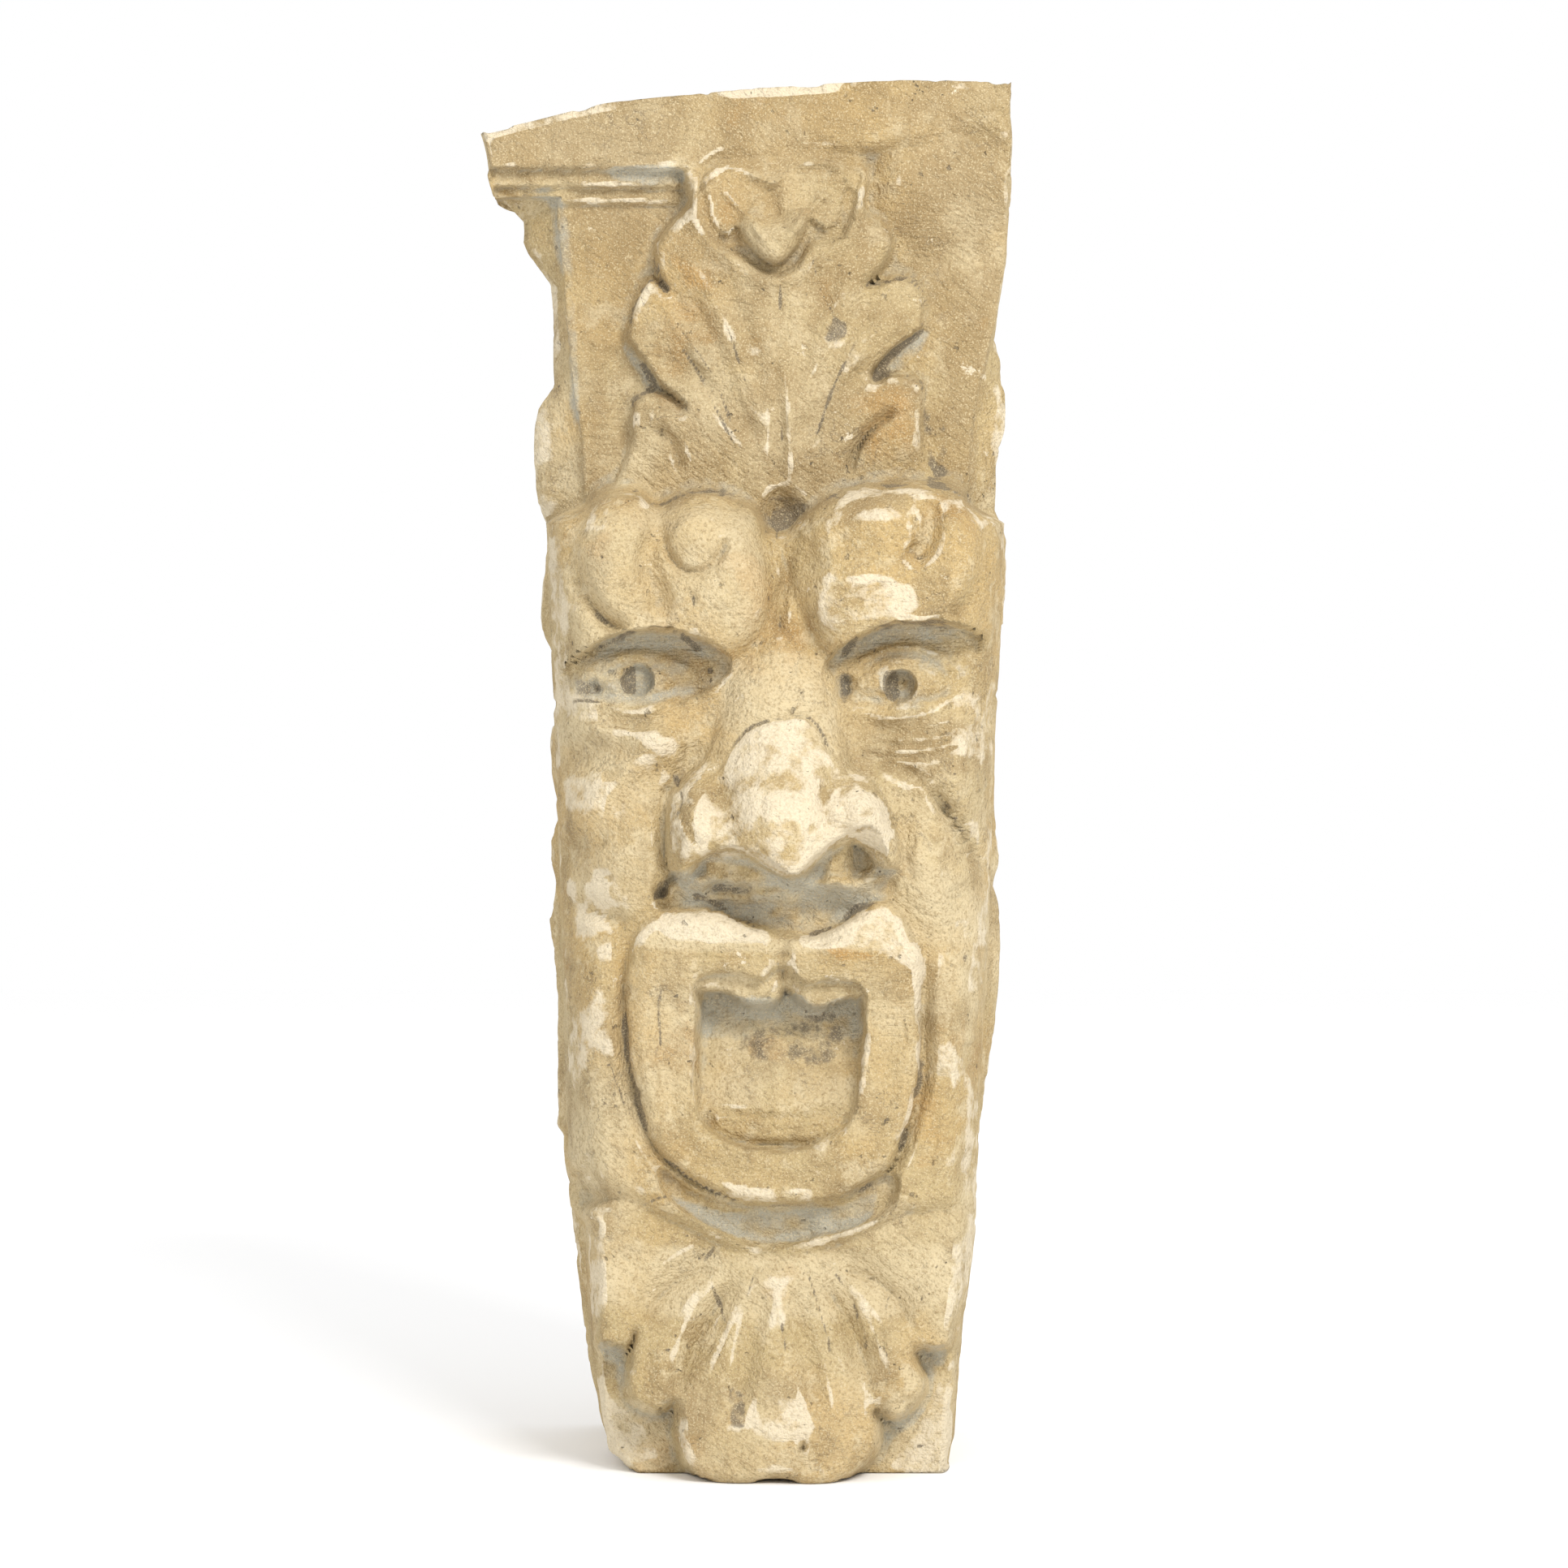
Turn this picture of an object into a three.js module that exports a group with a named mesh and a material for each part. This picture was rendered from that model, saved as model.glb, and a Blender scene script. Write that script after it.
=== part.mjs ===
// Carved limestone keystone: a tapered block with a grotesque mask, a crown leaf above it and a
// leaf for a beard. Millimetres, +Z up, the mask looks along -Y, the origin is under the mask's middle
// on the foot of the block, in the plane of its plain front.
import * as THREE from "three";

// Driving sizes
const HEIGHT = 800;             // foot to the highest part of the top bed, as seen from the front
const TAIL_HALF_FOOT = 100;     // half width of the built-in tail at the foot
const TAPER = 0.0425;           // how much each joint face leans out for each mm of height
const WALL_PLANE = 70;          // depth at which the carving gives way to the plain tail
const DEPTH_BEHIND = 180;       // front plane to the back face
const SIGHT = [3.7, 393.7];     // across and up: the point from which the carving's outlines are laid out
const SIGHT_DISTANCE = 2600;    // that point's distance in front of the plain front
const FOOT_ZONE = 60;           // the rows are bent to meet the flat foot below this height
const BED_ZONE = 690;           // and to meet the sloping top bed above this one
const FLANK_ZONE = 20;          // the flank reaches its full width this far behind the arris

// How finely the surface is divided
const INNER_HALF = 70;          // the columns stand upright this far each way from the middle
const INNER_STEPS = 24;
const OUTER_STEPS = 6;          // beyond that they spread to meet the arris
const FRONT_STEPS = INNER_STEPS + 2 * OUTER_STEPS;
const CORNER_STEPS = 3;
const SIDE_STATIONS = [0.1, 0.3, 0.6, 0.85, 1];   // from the corner to the wall plane
const ROW_PITCH = [[0, 9.5], [140, 9.5], [141, 8.4], [330, 8.4], [331, 7.4], [480, 7.4], [481, 9.5],
  [560, 9.5], [561, 12], [735, 12], [736, 7], [752, 7], [753, 15], [800, 15]];
const FINEST_CUT = 5;           // narrower cuts would fall between two rows
const PLATE_REACH = 12;         // a plate's wall dies this far outside its outline
const DEEPEST = 60;             // no hollow is sunk further than this
const DRILL_WALL = 2.5;         // run of a drilled hole's side
const EASE_ACROSS = 2.2;        // each point takes the mean of the stone this far round it
const EASE_UP = 2.6;

// Outline of the block from the front: height, then half width. The flank is the stone's widest reach
// at each height; the arris is where the front turns into the side.
const LEFT_FLANK = [[0, 84], [2, 88], [7, 93], [13, 99], [30, 104], [55, 110], [85, 114], [115, 118],
  [145, 121], [158, 121], [175, 125], [190, 126], [196, 129], [265, 130], [285, 131], [315, 134],
  [325, 132], [336, 130], [350, 134], [360, 134], [373, 129], [385, 130], [400, 133], [415, 134],
  [427, 133], [434, 125], [441, 124], [456, 126], [470, 133], [480, 138], [490, 140], [505, 139],
  [525, 137], [541, 135], [552, 139], [565, 141], [580, 142], [600, 142], [612, 140], [620, 135],
  [625, 131], [668, 131.5], [684, 132], [694, 140], [702, 146], [710, 149], [725, 149], [733, 155],
  [742, 162], [748, 164.5], [762, 166], [772, 168], [800, 171]];
const RIGHT_FLANK = [[0, 99], [15, 103], [50, 106], [90, 110], [105, 112], [135, 115.5], [168, 115],
  [178, 117], [195, 119], [215, 122], [235, 125], [250, 128], [290, 131], [315, 131], [325, 130],
  [335, 127], [352, 131], [365, 129], [375, 128], [440, 128], [455, 127], [470, 126], [480, 127],
  [486, 133], [515, 135.5], [535, 135], [545, 132], [553, 128], [579, 128], [582, 129], [600, 133],
  [620, 133], [640, 131], [652, 127], [662, 128], [675, 130], [700, 134], [720, 135], [745, 133],
  [765, 135.5], [780, 133], [800, 130]];
const LEFT_ARRIS = [[0, 84], [13, 98], [30, 103], [70, 109], [140, 112], [150, 120], [545, 134], [556, 112],
  [590, 113], [605, 116], [620, 119], [650, 122], [720, 128], [740, 128], [746, 163], [800, 171]];
const RIGHT_ARRIS = [[0, 99], [60, 105], [85, 107], [105, 111], [140, 115], [545, 132], [556, 110],
  [585, 111], [600, 113], [615, 116], [635, 120], [662, 127], [700, 133.5], [720, 135], [800, 135]];
const TURN = [[0, 5], [60, 6], [75, 9], [146, 12], [160, 22], [300, 28], [430, 26], [470, 24], [545, 22],
  [556, 4], [800, 4]];
const CORNER_BACK = [[0, 4], [70, 4], [146, 8], [165, 16], [545, 16], [556, 3], [742, 3],
  [747, -15], [800, -15]];
// Upper edge of the stone seen from the front: across, then how far it lies below the full height.
const TOP_EDGE = [[-171, 30], [-150, 25.5], [-135, 22], [-118, 17.5], [-92, 12.5], [-50, 8], [-20, 5],
  [20, 3], [50, 1], [95, 0], [130, 1.5]];

function clamp(t, low, high) {
  return Math.min(high, Math.max(low, t));
}

function ramp(t) {
  const s = clamp(t, 0, 1);
  return s * s * (3 - 2 * s);
}

function smax(a, b, k) {
  const t = clamp(0.5 + 0.5 * (a - b) / k, 0, 1);
  return b + (a - b) * t + k * t * (1 - t);
}

function smin(a, b, k) {
  return -smax(-a, -b, k);
}

// Straight-line reading of a table of pairs.
function lookUp(table, at) {
  if (at <= table[0][0]) return table[0][1];
  for (let i = 1; i < table.length; i++) {
    const [a, va] = table[i - 1];
    const [b, vb] = table[i];
    if (at <= b) return va + (vb - va) * (at - a) / (b - a);
  }
  return table[table.length - 1][1];
}

// A smooth path through a few points, open or closed.
const STEPS_A_SPAN = 4;
function curve(points, closed = false) {
  const last = points.length - 1;
  if (last === 1) return points;
  const before = closed ? points[last] : [2 * points[0][0] - points[1][0], 2 * points[0][1] - points[1][1]];
  const after = closed ? [points[0], points[1]]
    : [[2 * points[last][0] - points[last - 1][0], 2 * points[last][1] - points[last - 1][1]]];
  const q = [before, ...points, ...after];
  const path = [];
  for (let i = 1; i < q.length - 2; i++) {
    for (let k = 0; k < STEPS_A_SPAN; k++) {
      const t = k / STEPS_A_SPAN;
      const point = [0, 1].map((c) => {
        const [a, b, d, e] = [q[i - 1][c], q[i][c], q[i + 1][c], q[i + 2][c]];
        return 0.5 * (2 * b + (d - a) * t + (2 * a - 5 * b + 4 * d - e) * t * t
          + (3 * b - a - 3 * d + e) * t * t * t);
      });
      path.push(point);
    }
  }
  if (!closed) path.push(points[last]);
  return path;
}

// The paths of the cuts with their extents, worked out once, in the order the cuts are made.
const cuts = [];
let turnOf = 0;
function nextCut(points, closed) {
  const i = turnOf++;
  if (!cuts[i]) {
    const line = curve(points, closed);
    const [xs, zs] = [line.map((p) => p[0]), line.map((p) => p[1])];
    cuts[i] = { line, x0: Math.min(...xs), x1: Math.max(...xs), z0: Math.min(...zs), z1: Math.max(...zs) };
  }
  return cuts[i];
}

function beyond(x, z, cut, margin) {
  return x < cut.x0 - margin || x > cut.x1 + margin || z < cut.z0 - margin || z > cut.z1 + margin;
}

// Distance to a path, how far along it (0 to 1) and the side it lies on (positive on the left).
function measure(x, z, line) {
  let [best, at, side, total] = [Infinity, 0, 0, 0];
  for (let i = 1; i < line.length; i++) {
    const [ax, az] = line[i - 1];
    const [ex, ez] = [line[i][0] - ax, line[i][1] - az];
    const length = Math.hypot(ex, ez);
    const t = clamp(((x - ax) * ex + (z - az) * ez) / (length * length + 1e-12), 0, 1);
    const [dx, dz] = [x - ax - t * ex, z - az - t * ez];
    const d = Math.hypot(dx, dz);
    if (d < best) {
      best = d;
      at = total + t * length;
      side = Math.sign(ex * dz - ez * dx);
    }
    total += length;
  }
  return [best, at / total, side];
}

// Distance to a closed outline, positive inside.
function edge(x, z, loop) {
  const [best] = measure(x, z, [...loop, loop[0]]);
  let inside = false;
  for (let i = 0; i < loop.length; i++) {
    const a = loop[i];
    const b = loop[(i + 1) % loop.length];
    if ((a[1] > z) !== (b[1] > z) && x < a[0] + (b[0] - a[0]) * (z - a[1]) / (b[1] - a[1])) inside = !inside;
  }
  return inside ? best : -best;
}

function fade(t, ends) {
  return ends > 0 ? ramp(t / ends) * ramp((1 - t) / ends) : 1;
}

// The carver's cuts. Each takes how far the stone stands proud (h) at a point and gives it back changed.

// A V cut along a path, running out at both ends; width is half its mouth.
function groove(h, x, z, points, width, depth, ends = 0.15) {
  const cut = nextCut(points, false);
  const half = Math.max(width, FINEST_CUT);
  if (beyond(x, z, cut, half)) return h;
  const [d, t] = measure(x, z, cut.line);
  const v = Math.max(0, 1 - d / half);
  return h - depth * fade(t, ends) * v * (0.5 + 0.5 * v);
}

function ridge(h, x, z, points, width, rise, ends = 0.2) {
  const cut = nextCut(points, false);
  if (beyond(x, z, cut, width)) return h;
  const [d, t] = measure(x, z, cut.line);
  return h + rise * fade(t, ends) * ramp(1 - d / width);
}

// A step along a path: the side on its right drops and comes back up over width.
function scarp(h, x, z, points, width, drop, ends = 0.15, toe = 2.0) {
  const cut = nextCut(points, false);
  if (beyond(x, z, cut, width)) return h;
  const [d, t, s] = measure(x, z, cut.line);
  const low = s < 0 ? Math.max(0, 1 - d / width) ** 1.6 : Math.max(0, 1 - d / Math.max(toe, FINEST_CUT));
  return h - drop * fade(t, ends) * low;
}

// A soft swelling, or a hollow with a negative rise, that dies away without an edge.
function mound(h, x, z, at, size, rise, turn = 0) {
  const [c, s] = [Math.cos(turn * Math.PI / 180), Math.sin(turn * Math.PI / 180)];
  const [dx, dz] = [x - at[0], z - at[1]];
  const far = ((dx * c + dz * s) / size[0]) ** 2 + ((-dx * s + dz * c) / size[1]) ** 2;
  return h + rise * clamp(1 - far, 0, 1) ** 2;
}

// A round sinking with steep sides.
function drill(h, x, z, at, radius, depth) {
  return h - depth * ramp((radius - Math.hypot(x - at[0], z - at[1])) / DRILL_WALL);
}

// A rounded ridge running up the stone; half width, foot and rise may change with height.
function spine(h, x, middle, half, foot, rise, blend = 4) {
  const q = Math.abs(x - middle) / half;
  const top = q < 1 ? foot + rise * Math.sqrt(1 - q * q) : foot - DEEPEST * (q - 1);
  return smax(h, top, blend);
}

// Stone left standing inside an outline, its rim rounded over soft and falling by rise, and outside it
// falling away by wall for each mm.
function plate(h, x, z, outline, level, rise, soft, blend = 2, wall = 6) {
  const cut = nextCut(outline, true);
  if (beyond(x, z, cut, PLATE_REACH)) return h;
  const d = edge(x, z, cut.line);
  const q = clamp(1 - d / soft, 0, 1);
  return smax(h, level - rise * (1 - Math.sqrt(1 - q * q)) + Math.min(d, 0) * wall, blend);
}

// A hollow inside an outline down to floor, its walls rising by wall for each mm outwards.
function pit(h, x, z, outline, floor, blend = 2, wall = 6) {
  const cut = nextCut(outline, true);
  if (beyond(x, z, cut, DEEPEST / wall + 2)) return h;
  return smin(h, floor + Math.max(0, -edge(x, z, cut.line)) * wall, blend);
}

// Outlines of the carving on the front plane: across and up.
const LEAF_LEFT = [[-47, 758], [-50, 730], [-56, 721], [-65, 712], [-71, 702], [-70, 689], [-64,
  678], [-74, 685], [-83, 673], [-88, 658], [-87, 647], [-78, 634], [-70, 623], [-60, 617], [-70,
  621], [-80, 619], [-85, 612], [-85, 590], [-86, 540]];
const LEAF_RIGHT = [[84, 540], [84, 590], [85, 612], [84, 625], [76, 630], [64, 631], [56, 627], [60,
  634], [70, 644], [84, 654], [87, 664], [86, 676], [80, 684], [69, 687], [52, 681], [61, 691], [66,
  702], [65, 712], [58, 719], [50, 726], [45, 758]];
const BROW_LEFT = [[-8, 545], [-2, 522], [1, 505], [-1, 488], [-8, 474], [-20, 462], [-34, 450],
  [-60, 452], [-100, 450], [-128, 446], [-220, 446], [-220, 552], [-128, 551], [-114, 553], [-103,
  560], [-90, 564], [-78, 562], [-70, 556], [-62, 559], [-48, 564], [-32, 562], [-17, 556]];
const BROW_RIGHT = [[16, 550], [30, 561], [48, 566], [75, 568], [98, 566], [116, 557], [128, 554],
  [220, 554], [220, 468], [128, 468], [110, 462], [80, 462], [50, 456], [36, 450], [26, 464], [15,
  480], [6, 500], [5, 520], [7, 540]];
const SOCKET_LEFT = [[-28, 462], [-40, 472], [-56, 477], [-75, 478.5], [-92, 477], [-107, 470],
  [-122, 460], [-124, 448], [-108, 440], [-90, 436], [-70, 437], [-50, 444], [-36, 452]];
const SOCKET_RIGHT = [[30, 462], [38, 470], [50, 476], [62, 481], [78, 483], [98, 483], [114, 478],
  [117, 466], [112, 450], [92, 438], [72, 434], [50, 435], [36, 440], [31, 450]];
const EYE_LEFT = [[-104, 452], [-96, 459], [-82, 463], [-68, 461], [-57, 453], [-64, 445], [-80,
  440], [-96, 443]];
const EYE_RIGHT = [[43, 450], [52, 461], [64, 467], [78, 467], [90, 463], [100, 453], [90, 441], [70,
  437], [52, 440]];
const NOSE = [[-6, 482], [-14, 470], [-28, 458], [-34, 448], [-38, 432], [-42, 412], [-54, 397],
  [-62, 386], [-64, 364], [-62, 344], [-54, 336], [-44, 346], [-26, 352], [-14, 349], [-6, 341], [6,
  334], [18, 336], [27, 349], [36, 358], [48, 356], [60, 345], [69, 345], [72, 356], [67, 374], [58,
  392], [44, 404], [40, 425], [33, 446], [26, 460], [14, 474]];
const RING = [[-66, 321], [-80, 312], [-86, 292], [-88, 262], [-86, 230], [-76, 195], [-62, 174],
  [-38, 158], [-10, 150], [34, 154], [62, 169], [74, 192], [83, 225], [83, 262], [84, 292], [79,
  306], [68, 324], [52, 326], [32, 311], [16, 307], [-10, 313], [-30, 320], [-48, 324]];
const MOUTH = [[-41, 262], [-43, 240], [-44, 214], [-44, 203], [-34, 193], [-14, 185], [12, 185],
  [32, 194], [42, 206], [45, 235], [45, 258], [44, 272], [30, 275], [18, 272], [9, 276], [2, 281],
  [-6, 275], [-16, 276], [-30, 278], [-42, 276]];
const TEETH = [[-48, 276], [-42, 274], [-30, 273], [-20, 267], [-9, 265], [0, 268], [4, 276], [11,
  269], [21, 264], [31, 265], [40, 269], [48, 271], [50, 290], [20, 296], [3, 300], [-20, 298], [-46,
  292]];
const BEARD = [[-111, 146], [-110, 110], [-109, 84], [-108, 72], [-95, 68], [-86, 69], [-82, 78],
  [-85, 62], [-88, 48], [-82, 36], [-68, 32], [-59, 36], [-58, 18], [-52, 0], [-40, -9], [-20, -11],
  [0, -8], [20, -12], [38, -8], [54, 6], [59, 20], [56, 33], [68, 28], [80, 37], [85, 50], [79, 67],
  [92, 66], [102, 72], [110, 95], [114, 120], [115, 146], [90, 150], [60, 150], [44, 142], [22, 137],
  [4, 131], [-12, 130], [-28, 137], [-44, 146], [-60, 158], [-84, 158]];

function cap(h, x, z) {
  const low = 746 + 7 * ramp((x + 50) / 20) + 4 * ramp((x - 90) / 20) - 8 * ramp((x - 112) / 20);
  const soft = 4 + 12 * ramp((x + 60) / 50) + 26 * ramp((x - 40) / 60);
  h = Math.max(h, 15 * ramp((z - 690) / 56) * ramp((x - 36) / 36));
  h = Math.max(h, 20 * ramp((z - low) / soft + 0.4));
  // two low bands under the fascia at the left
  h = Math.max(h, 12 * ramp((z - 735) / 3) * ramp((-48 - x) / 16));
  h = Math.max(h, 5 * ramp((z - 726) / 3) * ramp((-50 - x) / 16));
  return h;
}

function crown(h, x, z) {
  const outline = [...LEAF_LEFT, ...LEAF_RIGHT];
  const body = 15 + 12 * ramp((92 - Math.abs(x)) / 90) - 5 * ramp((610 - z) / 45);
  const rise = 5 * ramp((z - 660) / 70) - 10 * ramp((z - 741) / 14);
  h = plate(h, x, z, outline, body + rise, 8, 5, 1.0);
  // the leaf folds along lines that fan up from its foot
  for (const side of [-1, 1]) {
    h = ridge(h, x, z, [[side * 8, 585], [side * 30, 630], [side * 62, 684]], 10, -3, 0.2);
    h = ridge(h, x, z, [[side * 8, 585], [side * 40, 622], [side * 80, 646]], 10, -4, 0.2);
    h = ridge(h, x, z, [[side * 5, 600], [side * 18, 650], [side * 40, 700]], 10, -2.5, 0.25);
    h = ridge(h, x, z, [[side * 28, 626], [side * 54, 654], [side * 76, 668]], 12, 4, 0.3);
    h = ridge(h, x, z, [[side * 16, 634], [side * 38, 676], [side * 54, 704]], 11, 3, 0.3);
  }
  h = groove(h, x, z, [[-64, 685], [-44, 648], [-24, 612]], 2.5, 2.2, 0.15);
  h = groove(h, x, z, [[-54, 682], [-36, 648], [-18, 604]], 2.5, 1.6, 0.2);
  h = groove(h, x, z, [[-72, 668], [-48, 636], [-28, 606]], 2.5, 1.6, 0.2);
  h = groove(h, x, z, [[-1, 560], [0, 600], [-1, 640]], 6, 3, 0.2);
  h = ridge(h, x, z, [[8, 560], [7, 600], [5, 630]], 5, 2, 0.3);
  // cuts between the lobes
  h = scarp(h, x, z, [[-88, 650], [-80, 638], [-72, 626], [-62, 618], [-50, 608]], 9, 13, 0.15);
  h = scarp(h, x, z, [[52, 627], [60, 635], [70, 645], [87, 656]], 10, 14, 0.15);
  h = mound(h, x, z, [76, 640], [13, 8], -7, 30);
  h = mound(h, x, z, [-79, 631], [12, 7], -6, -50);
  h = scarp(h, x, z, [[-55, 572], [-58, 582], [-63, 592], [-74, 598]], 7, 7, 0.2);
  h = scarp(h, x, z, [[72, 609], [60, 602], [50, 592], [44, 580], [42, 569]], 8, 10, 0.2);
  h = mound(h, x, z, [-68, 606], [12, 10], 3);
  h = mound(h, x, z, [70, 590], [14, 16], 3);
  // the foot of the leaf sinks between the brows
  h = mound(h, x, z, [4, 550], [16, 18], -12);
  // overturned tip: a raised rim round a sunk channel, and three lobes hanging in it
  const tip = [[-40, 758], [-38, 724], [-34, 714], [-28, 711], [-23, 717], [-18, 707], [-9, 697],
    [-1, 694], [6, 698], [14, 710], [18, 721], [23, 718], [29, 715], [35, 724], [37, 758]];
  const rim = [[-50, 742], [-47, 722], [-38, 705], [-24, 694], [-2, 683], [14, 690], [24, 700], [40,
    710], [47, 724], [48, 742]];
  h = ridge(h, x, z, rim, 9, 3.5, 0.1);
  h = pit(h, x, z, [[-45, 750], [-44, 724], [-37, 710], [-24, 701], [-9, 691], [-2, 689], [9, 693],
    [18, 706], [30, 708], [39, 716], [41, 758], [-45, 758]], 21, 2.0, 3.0);
  h = plate(h, x, z, tip, 41 - 10 * ramp((z - 715) / 30) - 12 * ramp((z - 738) / 12), 9, 8, 1.0);
  // two scooped dishes on top, each under its own thin arch
  h = pit(h, x, z, [[-41, 716], [-43, 732], [-37, 741], [-26, 744], [-12, 742], [-4, 735], [-5, 722],
    [-13, 728], [-21, 724], [-28, 714]], 24, 3, 1.5);
  h = pit(h, x, z, [[40, 718], [42, 732], [36, 742], [24, 746], [10, 744], [1, 736], [1, 722], [9,
    729], [16, 728], [22, 720], [30, 717]], 24, 3, 1.5);
  h = ridge(h, x, z, [[-47, 730], [-42, 742], [-32, 748], [-18, 747], [-4, 739], [6, 747], [20, 751],
    [34, 749], [43, 740], [46, 728]], 3.5, 4, 0.1);
  h = groove(h, x, z, [[-56, 734], [-46, 746], [-32, 754], [-12, 756], [10, 757], [36, 756], [52,
    744]], 4, 3, 0.15);
  h = ridge(h, x, z, [[-34, 738], [-22, 726], [-6, 704]], 4, 3, 0.2);
  h = ridge(h, x, z, [[33, 738], [20, 726], [3, 704]], 4, 3, 0.2);
  h = groove(h, x, z, [[-1, 744], [-2, 730], [-1, 716]], 5, 5, 0.2);
  return h;
}

function face_mass(h, x, z) {
  // The block of the face, from the brows down to the jaw, before any feature is cut.
  const ease = ramp((118 - Math.abs(x - 1)) / 60);
  const level = 46 + 9 * ease;
  const outline = [[-220, 515], [0, 505], [220, 515], [220, 146], [118, 148], [96, 145], [78, 144],
    [67, 141], [0, 117], [-66, 143], [-80, 150], [-96, 154], [-112, 165], [-120, 172], [-220, 176]];
  h = plate(h, x, z, outline, level, 18, 13, 3.0);
  return h;
}

function brows(h, x, z) {
  h = plate(h, x, z, BROW_LEFT, 70 - 8 * ramp((-98 - x) / 30) - 4 * ramp((z - 535) / 25), 36, 21, 2.0);
  h = plate(h, x, z, BROW_RIGHT, 70 - 7 * ramp((x - 98) / 30) - 4 * ramp((z - 540) / 25), 36, 21, 2.0);
  h = plate(h, x, z, [[-14, 534], [22, 534], [20, 500], [12, 472], [-8, 472], [-18, 500]], 51, 8, 8,
    5.0);
  // left: two masses with a valley between, the curl with its crescent, and the fold to the outer lobe
  h = mound(h, x, z, [-92, 520], [30, 40], 8, 10);
  h = mound(h, x, z, [-30, 504], [42, 44], 11, -20);
  h = ridge(h, x, z, [[-70, 560], [-69, 540], [-75, 526], [-73, 512], [-68, 500], [-69, 486]], 10,
    -8, 0.15);
  h = mound(h, x, z, [-47, 541], [22, 22], 5);
  h = groove(h, x, z, [[-65, 541], [-64, 529], [-57, 519], [-48, 516], [-38, 520], [-32, 528], [-31,
    537]], 4, 7, 0.12);
  h = groove(h, x, z, [[-112, 560], [-117, 542], [-119, 527], [-114, 509], [-103, 492], [-88, 480]],
    8, 12, 0.08);
  h = mound(h, x, z, [-131, 512], [15, 38], 5);
  h = groove(h, x, z, [[-52, 504], [-49, 501], [-51, 497]], 2.4, 2.5, 0.3);
  // right: worn curl, comb-marked patch, and the fold to the outer lobe
  h = mound(h, x, z, [48, 506], [42, 40], 10, 20);
  h = mound(h, x, z, [60, 543], [24, 22], 6);
  h = mound(h, x, z, [102, 522], [22, 40], 7, -10);
  h = ridge(h, x, z, [[86, 562], [88, 545], [84, 530], [74, 521]], 9, -8, 0.2);
  h = groove(h, x, z, [[78, 552], [80, 540], [78, 530], [72, 523]], 3, 4, 0.25);
  h = groove(h, x, z, [[106, 566], [118, 550], [122, 534], [119, 514], [109, 499], [97, 487]], 6, 9,
    0.1);
  h = mound(h, x, z, [130, 518], [13, 36], 4);
  h = mound(h, x, z, [50, 500], [32, 13], -3, 12);
  // the line between the brows, softer on its right
  h = mound(h, x, z, [17, 522], [15, 36], -8);
  h = groove(h, x, z, [[5, 550], [2, 532], [5, 514], [2, 498], [1, 476]], 5, 6, 0.15);
  return h;
}

function eyes(h, x, z) {
  // sockets: sharp under the brow, easing forward to the lower lid
  const low = 40 + 5 * ramp((474 - z) / 18) + 9 * ramp((447 - z) / 10);
  h = pit(h, x, z, SOCKET_LEFT, low + 2 * ramp((x + 60) / 25), 1.5, 9.0);
  h = pit(h, x, z, SOCKET_RIGHT, low, 1.5, 9.0);
  // the balls, and lids as low rolls round them
  h = plate(h, x, z, EYE_LEFT, 50, 8, 11, 1.0);
  h = plate(h, x, z, EYE_RIGHT, 51, 9, 12, 1.0);
  h = ridge(h, x, z, [[-112, 455], [-98, 464], [-82, 468], [-62, 465], [-44, 456]], 5, 3, 0.3);
  h = ridge(h, x, z, [[40, 457], [50, 466], [64, 472], [80, 472], [94, 467], [106, 454]], 4, 3.5, 0.25);
  h = ridge(h, x, z, [[-108, 445], [-96, 438], [-80, 435], [-64, 440], [-48, 450]], 5, 3, 0.3);
  h = ridge(h, x, z, [[46, 438], [58, 433], [74, 432], [90, 436], [104, 446]], 5, 4, 0.3);
  h = groove(h, x, z, [[48, 472], [62, 478], [82, 479], [102, 474]], 3, 2, 0.3);
  // drilled pupils and the sunk corners
  h = drill(h, x, z, [-80, 453.5], 9, 11);
  h = drill(h, x, z, [71, 450.5], 9, 12);
  h = groove(h, x, z, [[43, 457], [38, 450], [42, 443]], 7, 10, 0.3);
  h = groove(h, x, z, [[-109, 455], [-106, 450], [-102, 445]], 5, 8, 0.35);
  // folds under the eyes
  for (const drop of [0, 1, 2]) {
    h = groove(h, x, z, [[48, 428 - 7 * drop], [72, 423 - 7 * drop], [96, 425 - 6 * drop], [112,
      433 - 5 * drop]], 4, 3.5, 0.25);
  }
  h = groove(h, x, z, [[-116, 436], [-94, 429], [-74, 429], [-56, 436]], 5, 3, 0.25);
  return h;
}

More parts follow.
